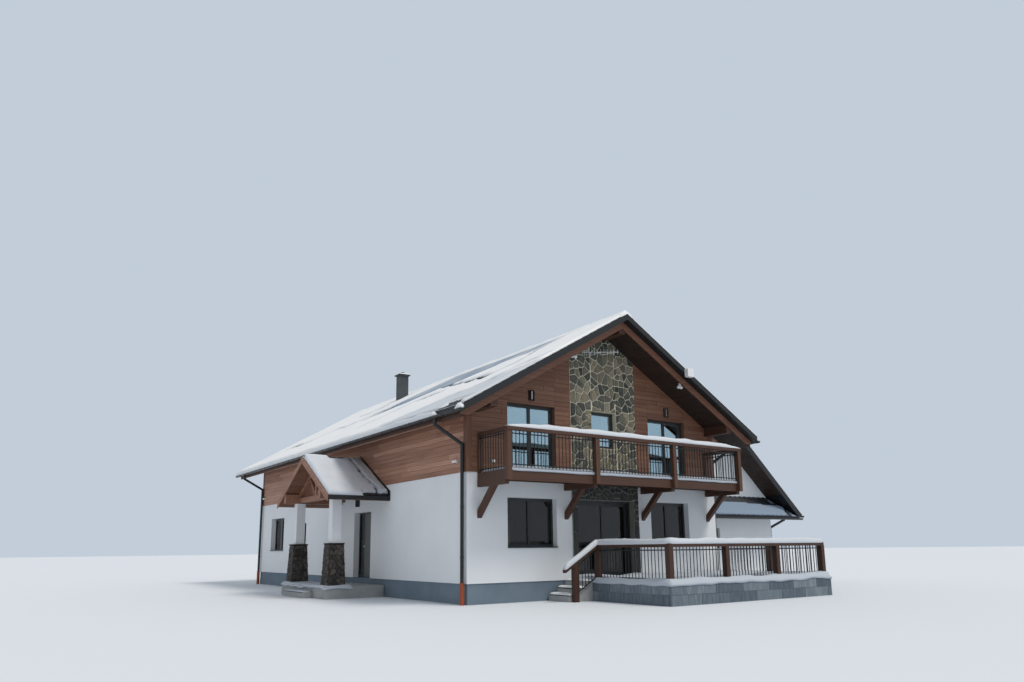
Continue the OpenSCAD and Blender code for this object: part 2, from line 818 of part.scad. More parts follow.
// Hinges: three knuckles on the inner face, upper halves on the leaf
hinge_x = ex0 + frame_d + 10;
hinge_y = leaf_y0 - run_gap / 2;
hinge_r = 10;
hinge_leaf = 40;
knuckle_h = 60;
hinge_z = [for (f = [0.12, 0.5, 0.88]) leaf_z0 + (leaf_z1 - leaf_z0) * f];

module knuckle(z, side) {
    translate([hinge_x, hinge_y, z]) cylinder(h = knuckle_h, r = hinge_r, $fn = 32);
    in = run_gap / 2;
    block([ex0 + frame_d, side > 0 ? hinge_y + in : hinge_y - hinge_leaf, z],
        [hinge_x, side > 0 ? hinge_y + hinge_leaf : hinge_y - in, z + knuckle_h]);
}

module entrance_frame() {
    x1 = ex0 + frame_d;
    top = leaf_z1 + run_gap;
    color("#3a3f3f") difference() {
        block([ex0, entrance_y0, plinth_h], [x1, entrance_y1, entrance_top]);
        block([ex0 - 1, leaf_y0 - run_gap, plinth_h + 20], [x1 + 1, leaf_y1 + run_gap, top]);
        block([ex0 - 1, post_y1, plinth_h + side_light_z], [x1 + 1, entrance_y1 - jamb, top]);
    }
    color("#9a9c9e") for (z = hinge_z) knuckle(z - knuckle_h - seat, -1);
}

// Leaf with its upper hinge halves and a lever handle on each face
module entrance_door() {
    color("#565c58") block([leaf_x0, leaf_y0, leaf_z0], [leaf_x0 + leaf_t, leaf_y1, leaf_z1]);
    color("#9a9c9e") {
        for (z = hinge_z) knuckle(z, 1);
        translate([leaf_x0, leaf_y1 - lever_in, plinth_h + lever_z]) mirror([1, 0, 0]) lever();
        translate([leaf_x0 + leaf_t, leaf_y1 - lever_in, plinth_h + lever_z]) lever();
    }
}

// Lever handle that stands off a face along X and points away from the leaf's edge
lever_in = 80;
lever_z = 1050;
lever_neck = 45;
lever_r = 12;
lever_l = 130;

module lever() {
    rotate([0, 90, 0]) cylinder(h = 8, r = 2 * lever_r, $fn = 32);
    rotate([0, 90, 0]) cylinder(h = lever_neck, r = lever_r, $fn = 24);
    block([lever_neck, -lever_l, -lever_r], [lever_neck + 15, lever_r, lever_r]);
}

// Terrace
tfy = -hl - terrace_d;
post_in = 75 + terrace_post / 2;
px0 = terrace_x0 + post_in;
px1 = terrace_x1 - post_in;
py = tfy + post_in;
stair_y = -hl - stone_out - stair_w;
front_posts = [for (i = [0 : 3]) [px0 + (px1 - px0) * i / 3, py]];
side_mid = (py - hl - 100) / 2;
foot_x = px0 - 850;
end_post_y = -hl - 150;
landing = 250;
// Fall of the stair rail for each unit that it runs, and its length past the foot post
stair_fall = 0.58;
stair_tail = 380;
rail_t = 90;
half_rail = 70;

module terrace_walls() {
    t = terrace_wall_t;
    color("#8b8f90") difference() {
        block([terrace_x0, tfy, 0], [terrace_x1, -hl - stone_out, plinth_h]);
        block([terrace_x0 + t, tfy + t, -1], [terrace_x1 - t, -hl, plinth_h + 1]);
    }
}

module terrace_floor() {
    color("#a0a2a2") block([terrace_x0 + terrace_wall_t, tfy + terrace_wall_t, plinth_h - 200],
        [terrace_x1 - terrace_wall_t, -hl - stone_out, plinth_h]);
}

// Three steps down beside the terrace, drawn from the side
module terrace_steps() {
    rise = plinth_h / 3;
    x0 = terrace_x0 - landing - 2 * tread;
    profile = [for (i = [0 : 2]) each [[x0 + i * tread, i * rise], [x0 + i * tread, (i + 1) * rise]]];
    color("#8b8f90") along_y(stair_y, -hl - stone_out,
        concat(profile, [[terrace_x0, plinth_h], [terrace_x0, 0]]));
}

module post_at(p, z0, z1) {
    half = terrace_post / 2;
    block([p[0] - half, p[1] - half, z0], [p[0] + half, p[1] + half, z1]);
}

stair_post_y = stair_y - terrace_post / 2 - seat;

module terrace_posts() {
    top = plinth_h + terrace_rail_h - rail_t;
    half = terrace_post / 2;
    color("#6b3f28") {
        for (p = concat(front_posts, [[px0, stair_post_y], [px1, side_mid], [px1, end_post_y]]))
            post_at(p, plinth_h, top);
        foot_post(foot_x - half, foot_x + half, half, 0, top - (px0 - half - foot_x) * stair_fall);
    }
}

// Foot post of the stair rail, its head cut to the slope. z1 is the head over the post's middle.
module foot_post(x0, x1, half, z0, z1) {
    rise = half * stair_fall;
    translate([0, stair_post_y, 0]) along_y(-half, half,
        [[x0, z0], [x1, z0], [x1, z1 + rise], [x0, z1 - rise]]);
}

module terrace_rail() {
    z0 = plinth_h + terrace_rail_h - rail_t;
    z1 = plinth_h + terrace_rail_h;
    half = half_rail;
    x = px0 - terrace_post / 2;
    run = x - foot_x + stair_tail;
    color("#6b3f28") {
        block([px0 - half, py - half, z0], [px1 + half, py + half, z1]);
        block([px0 - half, py + half, z0], [px0 + half, stair_post_y + half, z1]);
        block([px1 - half, py + half, z0], [px1 + half, -hl - 75, z1]);
        translate([0, stair_post_y, 0]) along_y(-half, half,
            [[px0 - half, z0], [px0 - half, z1], [x, z1], [x - run, z1 - run * stair_fall],
                [x - run, z0 - run * stair_fall], [x, z0]]);
    }
}

module terrace_balusters() {
    z0 = plinth_h + 30;
    z1 = plinth_h + terrace_rail_h - rail_t;
    off = terrace_post / 2 + seat;
    color("#17181a") {
        for (i = [0 : 2])
            baluster_row([front_posts[i][0] + off, py], [front_posts[i + 1][0] - off, py], z0, z1);
        baluster_row([px0, py + off], [px0, stair_post_y - off], z0, z1);
        baluster_row([px1, py + off], [px1, side_mid - off], z0, z1);
        baluster_row([px1, side_mid + off], [px1, end_post_y - off], z0, z1);
        stair_balusters();
    }
}

// Two sloping bars with short uprights between the stair posts
module stair_balusters() {
    x0 = foot_x + terrace_post / 2 + seat;
    x1 = px0 - terrace_post / 2 - seat;
    count = floor((x1 - x0) / 110);
    bar_s = 16;
    z_low = function (x) plinth_h + 90 - (x1 - x) * stair_fall;
    z_high = function (x) plinth_h + terrace_rail_h - rail_t - 90 - (x1 - x) * stair_fall;
    translate([0, stair_post_y, 0]) {
        for (z = [z_low, z_high]) along_y(-10, 10, [[x0, z(x0)], [x1, z(x1)], [x1, z(x1) + 30],
            [x0, z(x0) + 30]]);
        for (i = [0.5 : count - 0.5]) {
            x = x0 + (x1 - x0) * i / count;
            block([x - bar_s / 2, -bar_s / 2, z_low(x) + 10], [x + bar_s / 2, bar_s / 2, z_high(x) + 10]);
        }
    }
}

// Porch
porch_z = plinth_h - porch_drop;
porch_v = porch_roof_t / cos_r;
z_porch = plinth_h + porch_ridge;
column_top = plinth_h + 2550;
porch_x0 = -hw - porch_out;
col_x = -hw - column_x;
eave_beam_z1 = z_porch - (column_y + beam_s / 2) * tan_r - porch_v - 2 * seat;

module porch_floor() {
    color("#8b8f90") {
        block([-hw - porch_floor_out, porch_y - porch_floor_half, 0],
            [-hw, porch_y + porch_floor_half, porch_z]);
        block([-hw - porch_floor_out - tread, porch_y - porch_step_half, 0],
            [-hw - porch_floor_out, porch_y + porch_step_half, porch_z / 2]);
    }
}

module column_bases() {
    color("#4b4741") for (s = [-1, 1]) translate([col_x, porch_y + s * column_y, porch_z]) {
        linear_extrude(base_h - 50, scale = base_top_w / base_w) square(base_w, center = true);
        translate([0, 0, base_h - 25]) cube([base_top_w + 60, base_top_w + 60, 50], center = true);
    }
}

module columns() {
    color("#e9ebee") for (s = [-1, 1]) translate([col_x, porch_y + s * column_y, 0])
        block([-column_w / 2, -column_w / 2, porch_z + base_h], [column_w / 2, column_w / 2, column_top]);
}

truss_t = 120;
truss_x = col_x - truss_t / 2;
// Boards at the open end of the porch roof, and their height
porch_barge_t = 35;
porch_barge_h = 190;
// Height of the flashing on the wall over the porch roof
flash_h = 170;
flash_t = 30;
tie_z0 = column_top + 20;
tie_z1 = column_top + 200;
strut_run = 560;
strut_top = tie_z1 + strut_run;

module porch_frame() {
    color("#8a4f33") {
        for (s = [-1, 1]) {
            y = porch_y + s * column_y;
            block([porch_x0 + seat, y - beam_s / 2, column_top], [-hw, y + beam_s / 2, eave_beam_z1]);
        }
        translate([truss_x, porch_y, 0]) truss();
        translate([porch_x0 - porch_barge_t, porch_y, 0]) porch_pair(0, porch_barge_t, 0, porch_barge_h);
    }
}

// Tie beam, king post, two struts and rafters over the columns, with boards behind them
module truss() {
    foot = porch_v + seat;
    post_half = truss_t / 2;
    rafter_h = 150;
    strut_h = 110;
    intersection() {
        union() {
            block([0, -porch_half, tie_z0], [truss_t, porch_half, tie_z1]);
            block([0, -post_half, tie_z0], [truss_t, post_half, z_porch]);
            for (s = [0, 1]) mirror([0, s, 0])
                along_x(20, truss_t - 20, [[0, tie_z1], [strut_h, tie_z1], [strut_run + strut_h, strut_top],
                    [strut_run, strut_top]]);
        }
        porch_pair(-1, truss_t + 1, foot, far);
    }
    intersection() {
        porch_pair(0, truss_t, foot, foot + rafter_h);
        block([-1, -far, column_top + 20], [truss_t + 1, far, far]);
    }
    intersection() {
        porch_pair(truss_t, truss_t + 25, foot, far);
        block([0, -far, tie_z1 - 60], [far, far, far]);
    }
}

// Pair of layers of the porch roof, from top to foot under its face
module porch_pair(x0, x1, top, foot) {
    out = porch_half - (top > 0 ? 40 : 0);
    along_x(x0, x1, [[0, z_porch - top], [out, z_porch - top - out * tan_r],
        [out, z_porch - foot - out * tan_r], [0, z_porch - foot],
        [-out, z_porch - foot - out * tan_r], [-out, z_porch - top - out * tan_r]]);
}

// Roof layer with a flashing that stands up along the wall
module porch_roof() {
    color("#26292c") translate([0, porch_y, 0]) {
        porch_pair(porch_x0, -hw, 0, porch_v);
        porch_pair(-hw - flash_t, -hw, -flash_h, 0);
    }
}

// Side wing
wing_in_x = wing_x1 - wing_t;
wing_hole = [wing_mid - 380, win_sill - 80, small_win_w, small_win_h - 70];

function wing_under(x) = z_wing - abs(x - wing_mid) * tan_w - wing_v - seat;

module wing_floor() {
    color("#a8a49c") block([hw, wing_y0 + wing_t, 0], [wing_in_x, wing_y1 - wing_t, wing_floor_t]);
}

module wing_walls() {
    color("#e2e4e7") difference() {
        union() {
            for (y = [wing_y0, wing_y1 - wing_t])
                along_y(y, y + wing_t, [[hw, 0], [wing_x1, 0], [wing_x1, wing_under(wing_x1)],
                    [wing_mid, wing_under(wing_mid)], [hw, wing_under(hw)]]);
            along_y(wing_y0, wing_y1, [[wing_in_x, 0], [wing_x1, 0], [wing_x1, wing_under(wing_x1)],
                [wing_in_x, wing_under(wing_in_x)]]);
        }
        hole_y(wing_hole, plinth_h, wing_y0 - 1, wing_y0 + wing_t + 1);
    }
}

// One slope with its ridge, its tail cut off level behind the eave's edge
module wing_roof() {
    x0 = hw + 2;
    x1 = wing_mid + wing_half;
    z_tail = wing_eave_z - wing_tail;
    tail_x = wing_mid + (z_wing - wing_v - z_tail) / tan_w;
    drop = (wing_mid - x0) * tan_w;
    color("#26292c") along_y(pent_y, wing_y1 + wing_back_over, [[x0, z_wing - drop], [wing_mid, z_wing],
        [x1, wing_eave_z], [x1, z_tail], [tail_x, z_tail], [wing_mid, z_wing - wing_v],
        [x0, z_wing - drop - wing_v]]);
}

pent_top = plinth_h + pent_top_h;
pent_rafter_w = 80;
pent_rafter_h = 100;
pent_tail = 120;
pent_rafters = [for (f = [0.13, 0.38, 0.63, 0.88]) hw + f * wing_w];
pent_rafter_z = pent_top - pent_t - pent_drop * (wing_front_over - pent_tail) / wing_front_over;

// Pent roof on four short rafters, cut off under the wing's roof
module wing_pent_roof() {
    under = z_wing - wing_v - seat;
    color("#26292c") difference() {
        union() {
            along_x(hw + seat, wing_mid + wing_half, [[wing_y0 - seat, pent_top],
                [pent_y, pent_top - pent_drop], [pent_y, pent_top - pent_drop - pent_t],
                [wing_y0 - seat, pent_top - pent_t]]);
            for (x = pent_rafters) along_x(x, x + pent_rafter_w, [[wing_y0 - seat, pent_top - pent_t],
                [pent_y + pent_tail, pent_rafter_z], [pent_y + pent_tail, pent_rafter_z - pent_rafter_h],
                [wing_y0 - seat, pent_top - pent_t - pent_rafter_h]]);
        }
        along_y(-far, far, [[wing_mid, under], [wing_mid + far, under - far * tan_w],
            [wing_mid + far, far], [wing_mid - far, far], [wing_mid - far, under - far * tan_w]]);
    }
}

// Corner boards: an angle round each corner of the timber storey
module corner_boards() {
    z1 = under_deck(hw + corner_t);
    color("#7a4229") for (s = [0, 1], t = [0, 1]) mirror([s, 0, 0]) mirror([0, t, 0]) difference() {
        union() {
            block([hw - corner_w, -hl - corner_t, z_up], [hw + corner_t, -hl, z1]);
            block([hw, -hl - corner_t, z_up], [hw + corner_t, -hl + corner_w, z1]);
        }
        mirror([0, t, 0]) purlin(purlin_places[2], seat);
    }
}

// Lamps: a half-round housing on the wall with a slot in front and a glass inside.
// Each place is [point on the wall, turn].
lamp_slot = 90;
lamp_wall = 8;
lamp_z = z_up + upper_door_h + 120;
lamp_places = [[[-win_x, -hl, lamp_z], 0], [[win_x, -hl, lamp_z], 0],
    [[-hw, porch_y + 130, entrance_top + 200], -90]];

module at_lamps() {
    for (p = lamp_places) translate(p[0]) rotate([0, 0, p[1]]) intersection() {
        children();
        block([-far, -far, -far], [far, 0, far]);
    }
}

module wall_lamps() {
    r = lamp_w / 2;
    inner = r - lamp_wall;
    color("#1b1d1f") at_lamps() difference() {
        cylinder(h = lamp_h, r = r, $fn = 48);
        translate([0, 0, lamp_wall]) cylinder(h = lamp_h - 2 * lamp_wall, r = inner, $fn = 48);
        block([-lamp_slot / 2, -2 * r, 3 * lamp_wall], [lamp_slot / 2, 0, lamp_h - 3 * lamp_wall]);
    }
}

module lamp_glasses() {
    color("#f4f2ea") at_lamps() translate([0, 0, lamp_wall])
        cylinder(h = lamp_h - 2 * lamp_wall, r = lamp_w / 4, $fn = 32);
}

// Antenna: a boom with cross rods, on an arm from a plate on the stone bay
antenna_mid = [-450, -hl - stone_out - 450];
antenna_turn = -33;
rod_half = 130;
antenna_z = under_deck(antenna_mid[0] - antenna_l / 2) - rod_half - 50;
rod_count = 13;
boom_r = 10;
plate_half = 60;
plate_t = 12;

module antenna() {
    y_wall = -hl - stone_out;
    x = antenna_mid[0];
    color("#d8dadc") {
        translate([x, antenna_mid[1], antenna_z]) rotate([0, 0, antenna_turn]) {
            bar([-antenna_l / 2, 0, 0], [antenna_l / 2, 0, 0], boom_r);
            for (i = [0 : rod_count - 1]) translate([rod_at(i), 0, 4 * i - rod_half])
                cylinder(h = 2 * (rod_half - 4 * i), r = boom_r / 2, $fn = 16);
        }
        bar([x, antenna_mid[1], antenna_z], [x, y_wall - plate_t / 2, antenna_z], boom_r * 1.6);
        block([x - plate_half, y_wall - plate_t, antenna_z - plate_half],
            [x + plate_half, y_wall, antenna_z + plate_half]);
    }
}

// Place of a rod on the boom: close together at the left end
function rod_at(i) = (antenna_l - 60) * (pow(i / (rod_count - 1), 1.25) - 0.5);

// Cameras on the left wall, twin-headed ones under the overhang and a box on the verge
camera_z = z_up + 320;
camera_ys = [-hl + 500, hl - 430];
head_y = -hl - front_over + 400;
head_places = [[-1860, head_y], [2600, head_y]];
verge_box_x = 2560;
verge_box_w = 280;
verge_box_r = 40;

module cameras() {
    color("#e6e8ea") {
        for (y = camera_ys) translate([-hw, y, camera_z]) {
            rotate([0, -90, 0]) cylinder(h = 30, r = 50, $fn = 32);
            bar([-15, 0, 0], [-95, 0, 0], 16);
            translate([-95, 110, 0]) rotate([90, 0, 0]) cylinder(h = 220, r = 38, $fn = 32);
        }
        for (p = head_places) translate([p[0], p[1], under_deck(p[0]) - 60]) {
            difference() {
                translate([0, 0, -20]) cylinder(h = 300, r = 45, $fn = 32);
                translate([-p[0], -p[1], -under_deck(p[0]) + 60]) along_y(-far, far, [[0, under_deck(0)],
                    [sign(p[0]) * far, under_deck(far)], [sign(p[0]) * far, far + under_deck(0)],
                    [0, far + under_deck(0)]]);
            }
            for (s = [-1, 1]) translate([s * 60, 0, -60]) sphere(r = 55, $fn = 32);
            bar([-60, 0, -60], [60, 0, -60], 20);
            bar([0, 0, -60], [0, 0, 0], 20);
        }
        verge_box();
    }
}

// Box with rounded corners on the verge
module verge_box() {
    half = verge_box_w / 2;
    flat = half - verge_box_r;
    z = z_ridge - verge_box_x * tan_r - cover_v / 2;
    translate([verge_box_x, -hl - front_over, z]) rotate([90, 0, 0]) linear_extrude(verge_box_w / 2) {
        square([2 * flat, 2 * half], center = true);
        square([2 * half, 2 * flat], center = true);
        for (s = [-1, 1], t = [-1, 1]) translate([s * flat, t * flat]) circle(r = verge_box_r, $fn = 32);
    }
}

plinth();
ground_slab();
front_walls();
stone_wall_lower();
left_wall_front();
left_wall_back();
left_wall_lintel();
right_wall();
back_wall();
upper_floor();
upper_front_walls();
stone_wall_upper();
upper_left_wall();
upper_right_wall();
upper_back_wall();
roof_deck();
roof_cover();
barge_boards();
purlins();
gutters();
downpipes();
chimney();
balcony_frame();
balcony_deck();
balcony_posts();
balcony_rail();
balcony_balusters();
window_frames();
window_glass();
window_sills();
terrace_door_frame();
terrace_door_leaf();
entrance_frame();
entrance_door();
terrace_walls();
terrace_floor();
terrace_steps();
terrace_posts();
terrace_rail();
terrace_balusters();
porch_floor();
column_bases();
columns();
porch_frame();
porch_roof();
wing_floor();
wing_walls();
wing_roof();
wing_pent_roof();
wall_lamps();
lamp_glasses();
corner_boards();
drain_pipes();
antenna();
cameras();
terrace_leaf_glass();
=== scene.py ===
# %% [markdown]
# # An alpine chalet after snowfall
# A house of this kind is plastered masonry below and timber above, under one wide roof. Its walls, roof
# layers, frames and rails come from the construction model, which is loaded first. This lesson adds what
# the last trades add: boards, stones, tiles, fittings, the finish of every surface, and the snow on top.

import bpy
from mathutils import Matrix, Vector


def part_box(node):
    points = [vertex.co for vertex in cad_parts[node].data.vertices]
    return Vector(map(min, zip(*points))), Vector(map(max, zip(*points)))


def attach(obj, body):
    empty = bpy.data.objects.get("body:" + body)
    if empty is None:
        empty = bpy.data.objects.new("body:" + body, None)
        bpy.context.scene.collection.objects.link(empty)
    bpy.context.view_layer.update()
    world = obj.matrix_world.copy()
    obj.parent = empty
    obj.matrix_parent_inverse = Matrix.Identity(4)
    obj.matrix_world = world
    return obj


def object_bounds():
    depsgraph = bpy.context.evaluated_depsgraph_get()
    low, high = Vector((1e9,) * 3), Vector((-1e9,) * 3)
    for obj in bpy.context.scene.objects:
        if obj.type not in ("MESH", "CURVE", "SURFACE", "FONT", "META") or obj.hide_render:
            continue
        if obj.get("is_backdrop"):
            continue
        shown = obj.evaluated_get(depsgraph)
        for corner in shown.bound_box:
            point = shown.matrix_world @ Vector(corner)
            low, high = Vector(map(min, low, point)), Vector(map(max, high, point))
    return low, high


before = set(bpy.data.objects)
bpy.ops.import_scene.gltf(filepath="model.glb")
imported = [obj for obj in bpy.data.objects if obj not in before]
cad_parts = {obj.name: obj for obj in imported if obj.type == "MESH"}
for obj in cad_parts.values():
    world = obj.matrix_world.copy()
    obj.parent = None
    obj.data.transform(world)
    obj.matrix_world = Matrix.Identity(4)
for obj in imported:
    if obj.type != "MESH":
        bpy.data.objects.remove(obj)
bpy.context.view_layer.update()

# %% Tools of the trade
import math
import random
from collections import namedtuple

import bmesh
import bpy
from mathutils import Matrix, Vector, noise

scene = bpy.context.scene
chance = random.Random(7)
MM = 0.001
UP = Vector((0, 0, 1))


def in_scene(name, data):
    """A new object in the scene."""
    made = bpy.data.objects.new(name, data)
    scene.collection.objects.link(made)
    return made


# %% [markdown]
# ## Camera and light
# The camera stands where the photograph was taken: low, in front of the left corner, looking slightly up.
# Three numbers turn it, one sets its lens and one shifts the picture, because the photograph is cropped
# unevenly. The light is one soft sun and an even sky, so a colour renders about as it is written.

# %% Camera
LENS_MM, SENSOR_MM, SHIFT_UP = 26.55, 36.0, 0.0615
PLACE = Vector((-15.724, -26.835, 1.458))
TURN, TILT, ROLL = math.radians(34.78), math.radians(10.86), math.radians(-0.632)

ahead = Vector((math.sin(TURN) * math.cos(TILT), math.cos(TURN) * math.cos(TILT), math.sin(TILT)))
sideways = Vector((math.cos(TURN), -math.sin(TURN), 0))
above = sideways.cross(ahead)
right = sideways * math.cos(ROLL) + above * math.sin(ROLL)
top = above * math.cos(ROLL) - sideways * math.sin(ROLL)
camera_data = bpy.data.cameras.new("camera")
camera_data.lens, camera_data.sensor_width, camera_data.shift_y = LENS_MM, SENSOR_MM, SHIFT_UP
camera = in_scene("camera", camera_data)
camera.matrix_world = Matrix.Translation(PLACE) @ Matrix((right, top, -ahead)).transposed().to_4x4()
scene.camera = camera
scene.view_settings.view_transform = "Standard"


# %% Colours and nodes
def linear(hex_colour):
    """Turns an sRGB hex value, as a paint chart gives it, into the linear colour that Blender works in."""
    parts = [int(hex_colour[i:i + 2], 16) / 255 for i in (1, 3, 5)]
    return tuple(c / 12.92 if c <= 0.04045 else ((c + 0.055) / 1.055) ** 2.4 for c in parts) + (1.0,)


def add(tree, kind, inputs=None, **settings):
    """Adds a node, gives it its settings, and sets or links its inputs by name or number. A node that is
    given as an input stands for its first output."""
    made = tree.nodes.new(kind)
    for name, value in settings.items():
        setattr(made, name, value)
    for name, value in (inputs or {}).items():
        if isinstance(value, bpy.types.Node):
            value = value.outputs[0]
        if isinstance(value, bpy.types.NodeSocket):
            tree.links.new(value, made.inputs[name])
        else:
            made.inputs[name].default_value = value
    return made


def shader_of(name, roughness, metallic=0.0):
    """A new material, its node tree and its shader, with what is the same all over set on the shader."""
    made = bpy.data.materials.new(name)
    made.use_nodes = True
    shader = made.node_tree.nodes["Principled BSDF"]
    shader.inputs["Roughness"].default_value = roughness
    shader.inputs["Metallic"].default_value = metallic
    return made, made.node_tree, shader


# %% Sky, sun and floor
# What is seen directly or in a pane is a pale sky. What lights the house is a dimmer, whiter one.
SKY_HEX, SKY_LIGHT_HEX, SUN_HEX, FLOOR_HEX = "#C2CDD9", "#F4F6FA", "#FFF8EE", "#D9E0E8"
FLOOR_HALF = 400

world = bpy.data.worlds.new("sky")
world.use_nodes = True
sky = world.node_tree
sky.nodes.clear()
rays = add(sky, "ShaderNodeLightPath").outputs
seen = rays["Is Camera Ray"]
for kind in ("Is Glossy Ray", "Is Transmission Ray"):
    seen = add(sky, "ShaderNodeMath", {0: seen, 1: rays[kind]}, operation="MAXIMUM")
even_light = add(sky, "ShaderNodeBackground", {"Color": linear(SKY_LIGHT_HEX), "Strength": 0.6})
pale_sky = add(sky, "ShaderNodeBackground", {"Color": linear(SKY_HEX), "Strength": 1.0})
either = add(sky, "ShaderNodeMixShader", {0: seen, 1: even_light, 2: pale_sky})
add(sky, "ShaderNodeOutputWorld", {"Surface": either})
scene.world = world

sun_data = bpy.data.lights.new("sun", "SUN")
sun_data.energy, sun_data.angle, sun_data.color = 1.75, math.radians(18), linear(SUN_HEX)[:3]
sun = in_scene("sun", sun_data)
sun.rotation_euler = Vector((0.3, -0.75, 1.3)).to_track_quat("Z", "Y").to_euler()

floor_mesh = bpy.data.meshes.new("floor")
corners = [(x * FLOOR_HALF, y * FLOOR_HALF, 0) for x, y in ((-1, -1), (1, -1), (1, 1), (-1, 1))]
floor_mesh.from_pydata(corners, [], [(0, 1, 2, 3)])
floor_paint, _, floor_shader = shader_of("pale_floor", 0.9)
floor_shader.inputs["Base Color"].default_value = linear(FLOOR_HEX)
floor_mesh.materials.append(floor_paint)
floor = in_scene("floor", floor_mesh)
floor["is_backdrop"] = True
print("Camera, light and floor are ready")

# %% [markdown]
# ## Finishes
# Every finish here is a shader with a pattern of real size. One function makes the pattern that plaster,
# concrete, stone, metal and paint share: a few shades mixed in soft patches, and a fine relief. Timber has
# one of its own, because its pattern is long one way and short across. Stones and boards also carry a
# number called tone, one for each, so that no two look alike.


# %% Shader patterns
def shades_of(tree, factor, shades):
    """A colour ramp through the hex shades, evenly spaced."""
    ramp = add(tree, "ShaderNodeValToRGB", {"Fac": factor})
    steps = ramp.color_ramp.elements
    while len(steps) < len(shades):
        steps.new(0.5)
    for i, shade in enumerate(shades):
        steps[i].position, steps[i].color = i / (len(shades) - 1), linear(shade)
    return ramp.outputs["Color"]


def toned(tree, pattern, tone):
    """The pattern, raised or lowered by a piece's own tone number, of which tone is the share."""
    own = add(tree, "ShaderNodeAttribute", attribute_name="tone").outputs["Fac"]
    centred = add(tree, "ShaderNodeMath", {0: own, 1: 0.5}, operation="SUBTRACT")
    return add(tree, "ShaderNodeMath", {0: centred, 1: tone, 2: pattern}, operation="MULTIPLY_ADD")


def face_up(tree, shader, colour, height, depth_mm):
    """Gives the shader its colour, and bump of that depth from a height pattern."""
    bump = add(tree, "ShaderNodeBump", {"Height": height, "Distance": depth_mm * MM, "Strength": 0.6})
    tree.links.new(colour, shader.inputs["Base Color"])
    tree.links.new(bump.outputs["Normal"], shader.inputs["Normal"])


def mottled(name, shades, patch_mm, grain_mm, depth_mm, roughness, metallic=0.0, tone=0.0):
    """Shades in soft patches of about patch_mm, with a relief of about grain_mm."""
    made, tree, shader = shader_of(name, roughness, metallic)
    place = add(tree, "ShaderNodeTexCoord").outputs["Object"]
    patches = add(tree, "ShaderNodeTexNoise", {"Vector": place, "Scale": 1 / (patch_mm * MM), "Detail": 5.0})
    grain = add(tree, "ShaderNodeTexNoise", {"Vector": place, "Scale": 1 / (grain_mm * MM), "Detail": 3.0})
    factor = toned(tree, patches, tone) if tone else patches
    face_up(tree, shader, shades_of(tree, factor, shades), grain, depth_mm)
    return made


def grained(name, shades, axis, roughness=0.6, tone=0.3, wide_mm=25, long_mm=1200):
    """A pattern that runs along the axis 0, 1 or 2, as the grain of timber or streaks of damp do. A
    board's tone also moves it, so that no two boards show the same grain."""
    made, tree, shader = shader_of(name, roughness)
    place = add(tree, "ShaderNodeTexCoord").outputs["Object"]
    scale = [1 / (wide_mm * MM)] * 3
    scale[axis] = 1 / (long_mm * MM)
    own = add(tree, "ShaderNodeAttribute", attribute_name="tone").outputs["Fac"]
    away = add(tree, "ShaderNodeMath", {0: own, 1: 40.0}, operation="MULTIPLY")
    shifted = add(tree, "ShaderNodeVectorMath", {0: place, 1: away}, operation="ADD")
    run = add(tree, "ShaderNodeMapping", {"Vector": shifted, "Scale": scale})
    streaks = add(tree, "ShaderNodeTexNoise", {"Vector": run, "Scale": 1.0, "Detail": 4.0, "Distortion": 0.4})
    face_up(tree, shader, shades_of(tree, toned(tree, streaks, tone), shades), streaks, 2.0)
    return made


# %% Masonry finishes
# Lime render, floated by hand: matt, with faint grey clouds a metre across. The float's own 3 mm grain
# is too fine to show from here, so it is drawn at 40 mm.
plaster = mottled("lime_render", ["#DAE0E7", "#E3E8ED", "#E9EDF1"], 1100, 40, 2.0, 0.92)
# Plinth render: cement grey with splashes of damp.
plinth_render = mottled("cement_render", ["#5C6C79", "#6B7C8A", "#7A8894"], 500, 30, 2.0, 0.9)
# Concrete, cast in place: grey with darker clouds and small holes.
cast_concrete = mottled("cast_concrete", ["#7E8486", "#999D9E", "#A9ACAB"], 260, 18, 3.0, 0.88)
# Shuttered concrete blocks: each one a shade of its own, streaked by the damp that runs down it, and all
# painted darker and bluer: painted shade.
split_block_in_painted_shade = grained("shuttered_concrete_block_in_painted_shade", ["#3F4B55", "#56636E", "#6E7A84", "#8A959C"], 2, 0.9,
                      0.55, 70, 380)
block_joint = mottled("block_mortar", ["#7C868D", "#8D969B"], 120, 10, 3.0, 0.95)
# Lime mortar between the stones: pale beige, sandy.
mortar = mottled("lime_mortar", ["#BAB6A0", "#D0CCB8", "#DEDAC8"], 90, 10, 3.0, 0.95)
# Quarried fieldstone: grey, olive and brown, cleft faces with a slight sheen.
fieldstone = mottled("cleft_fieldstone", ["#2D3030", "#4A4D46", "#626257", "#78725F", "#928A78"], 90, 20,
                     9.0, 0.7, tone=0.9)
# The same stones and their mortar under the balcony, made darker: painted shade.
stone_in_painted_shade = mottled("fieldstone_in_painted_shade", ["#151817", "#23272A", "#32342F", "#423F36"], 90, 20, 9.0, 0.6,
                     tone=0.8)
mortar_in_painted_shade = mottled("mortar_in_painted_shade", ["#6C726D", "#7F857F"], 90, 10, 3.0, 0.9)
# The stone of the column bases: smaller and browner, in dark joints.
base_stone = mottled("dark_fieldstone", ["#2B2826", "#383431", "#47423D", "#57514A"], 30, 12, 9.0, 0.78,
                     tone=0.9)
base_mortar = mottled("dark_mortar", ["#1E1C1A", "#2A2724"], 70, 10, 3.0, 0.95)

# %% Timber finishes
# Spruce cladding under a red-brown stain, and deeper stains on the frames. The boards under the roof and the
# balcony deck, and the terrace posts and rail, are painted darker: painted shade.
CLADDING_SHADES = ["#54362A", "#734E3C", "#845E49", "#976F58"]
cladding_x = grained("stained_cladding_across", CLADDING_SHADES, 0)
cladding_z = grained("stained_cladding_upright", CLADDING_SHADES, 2)
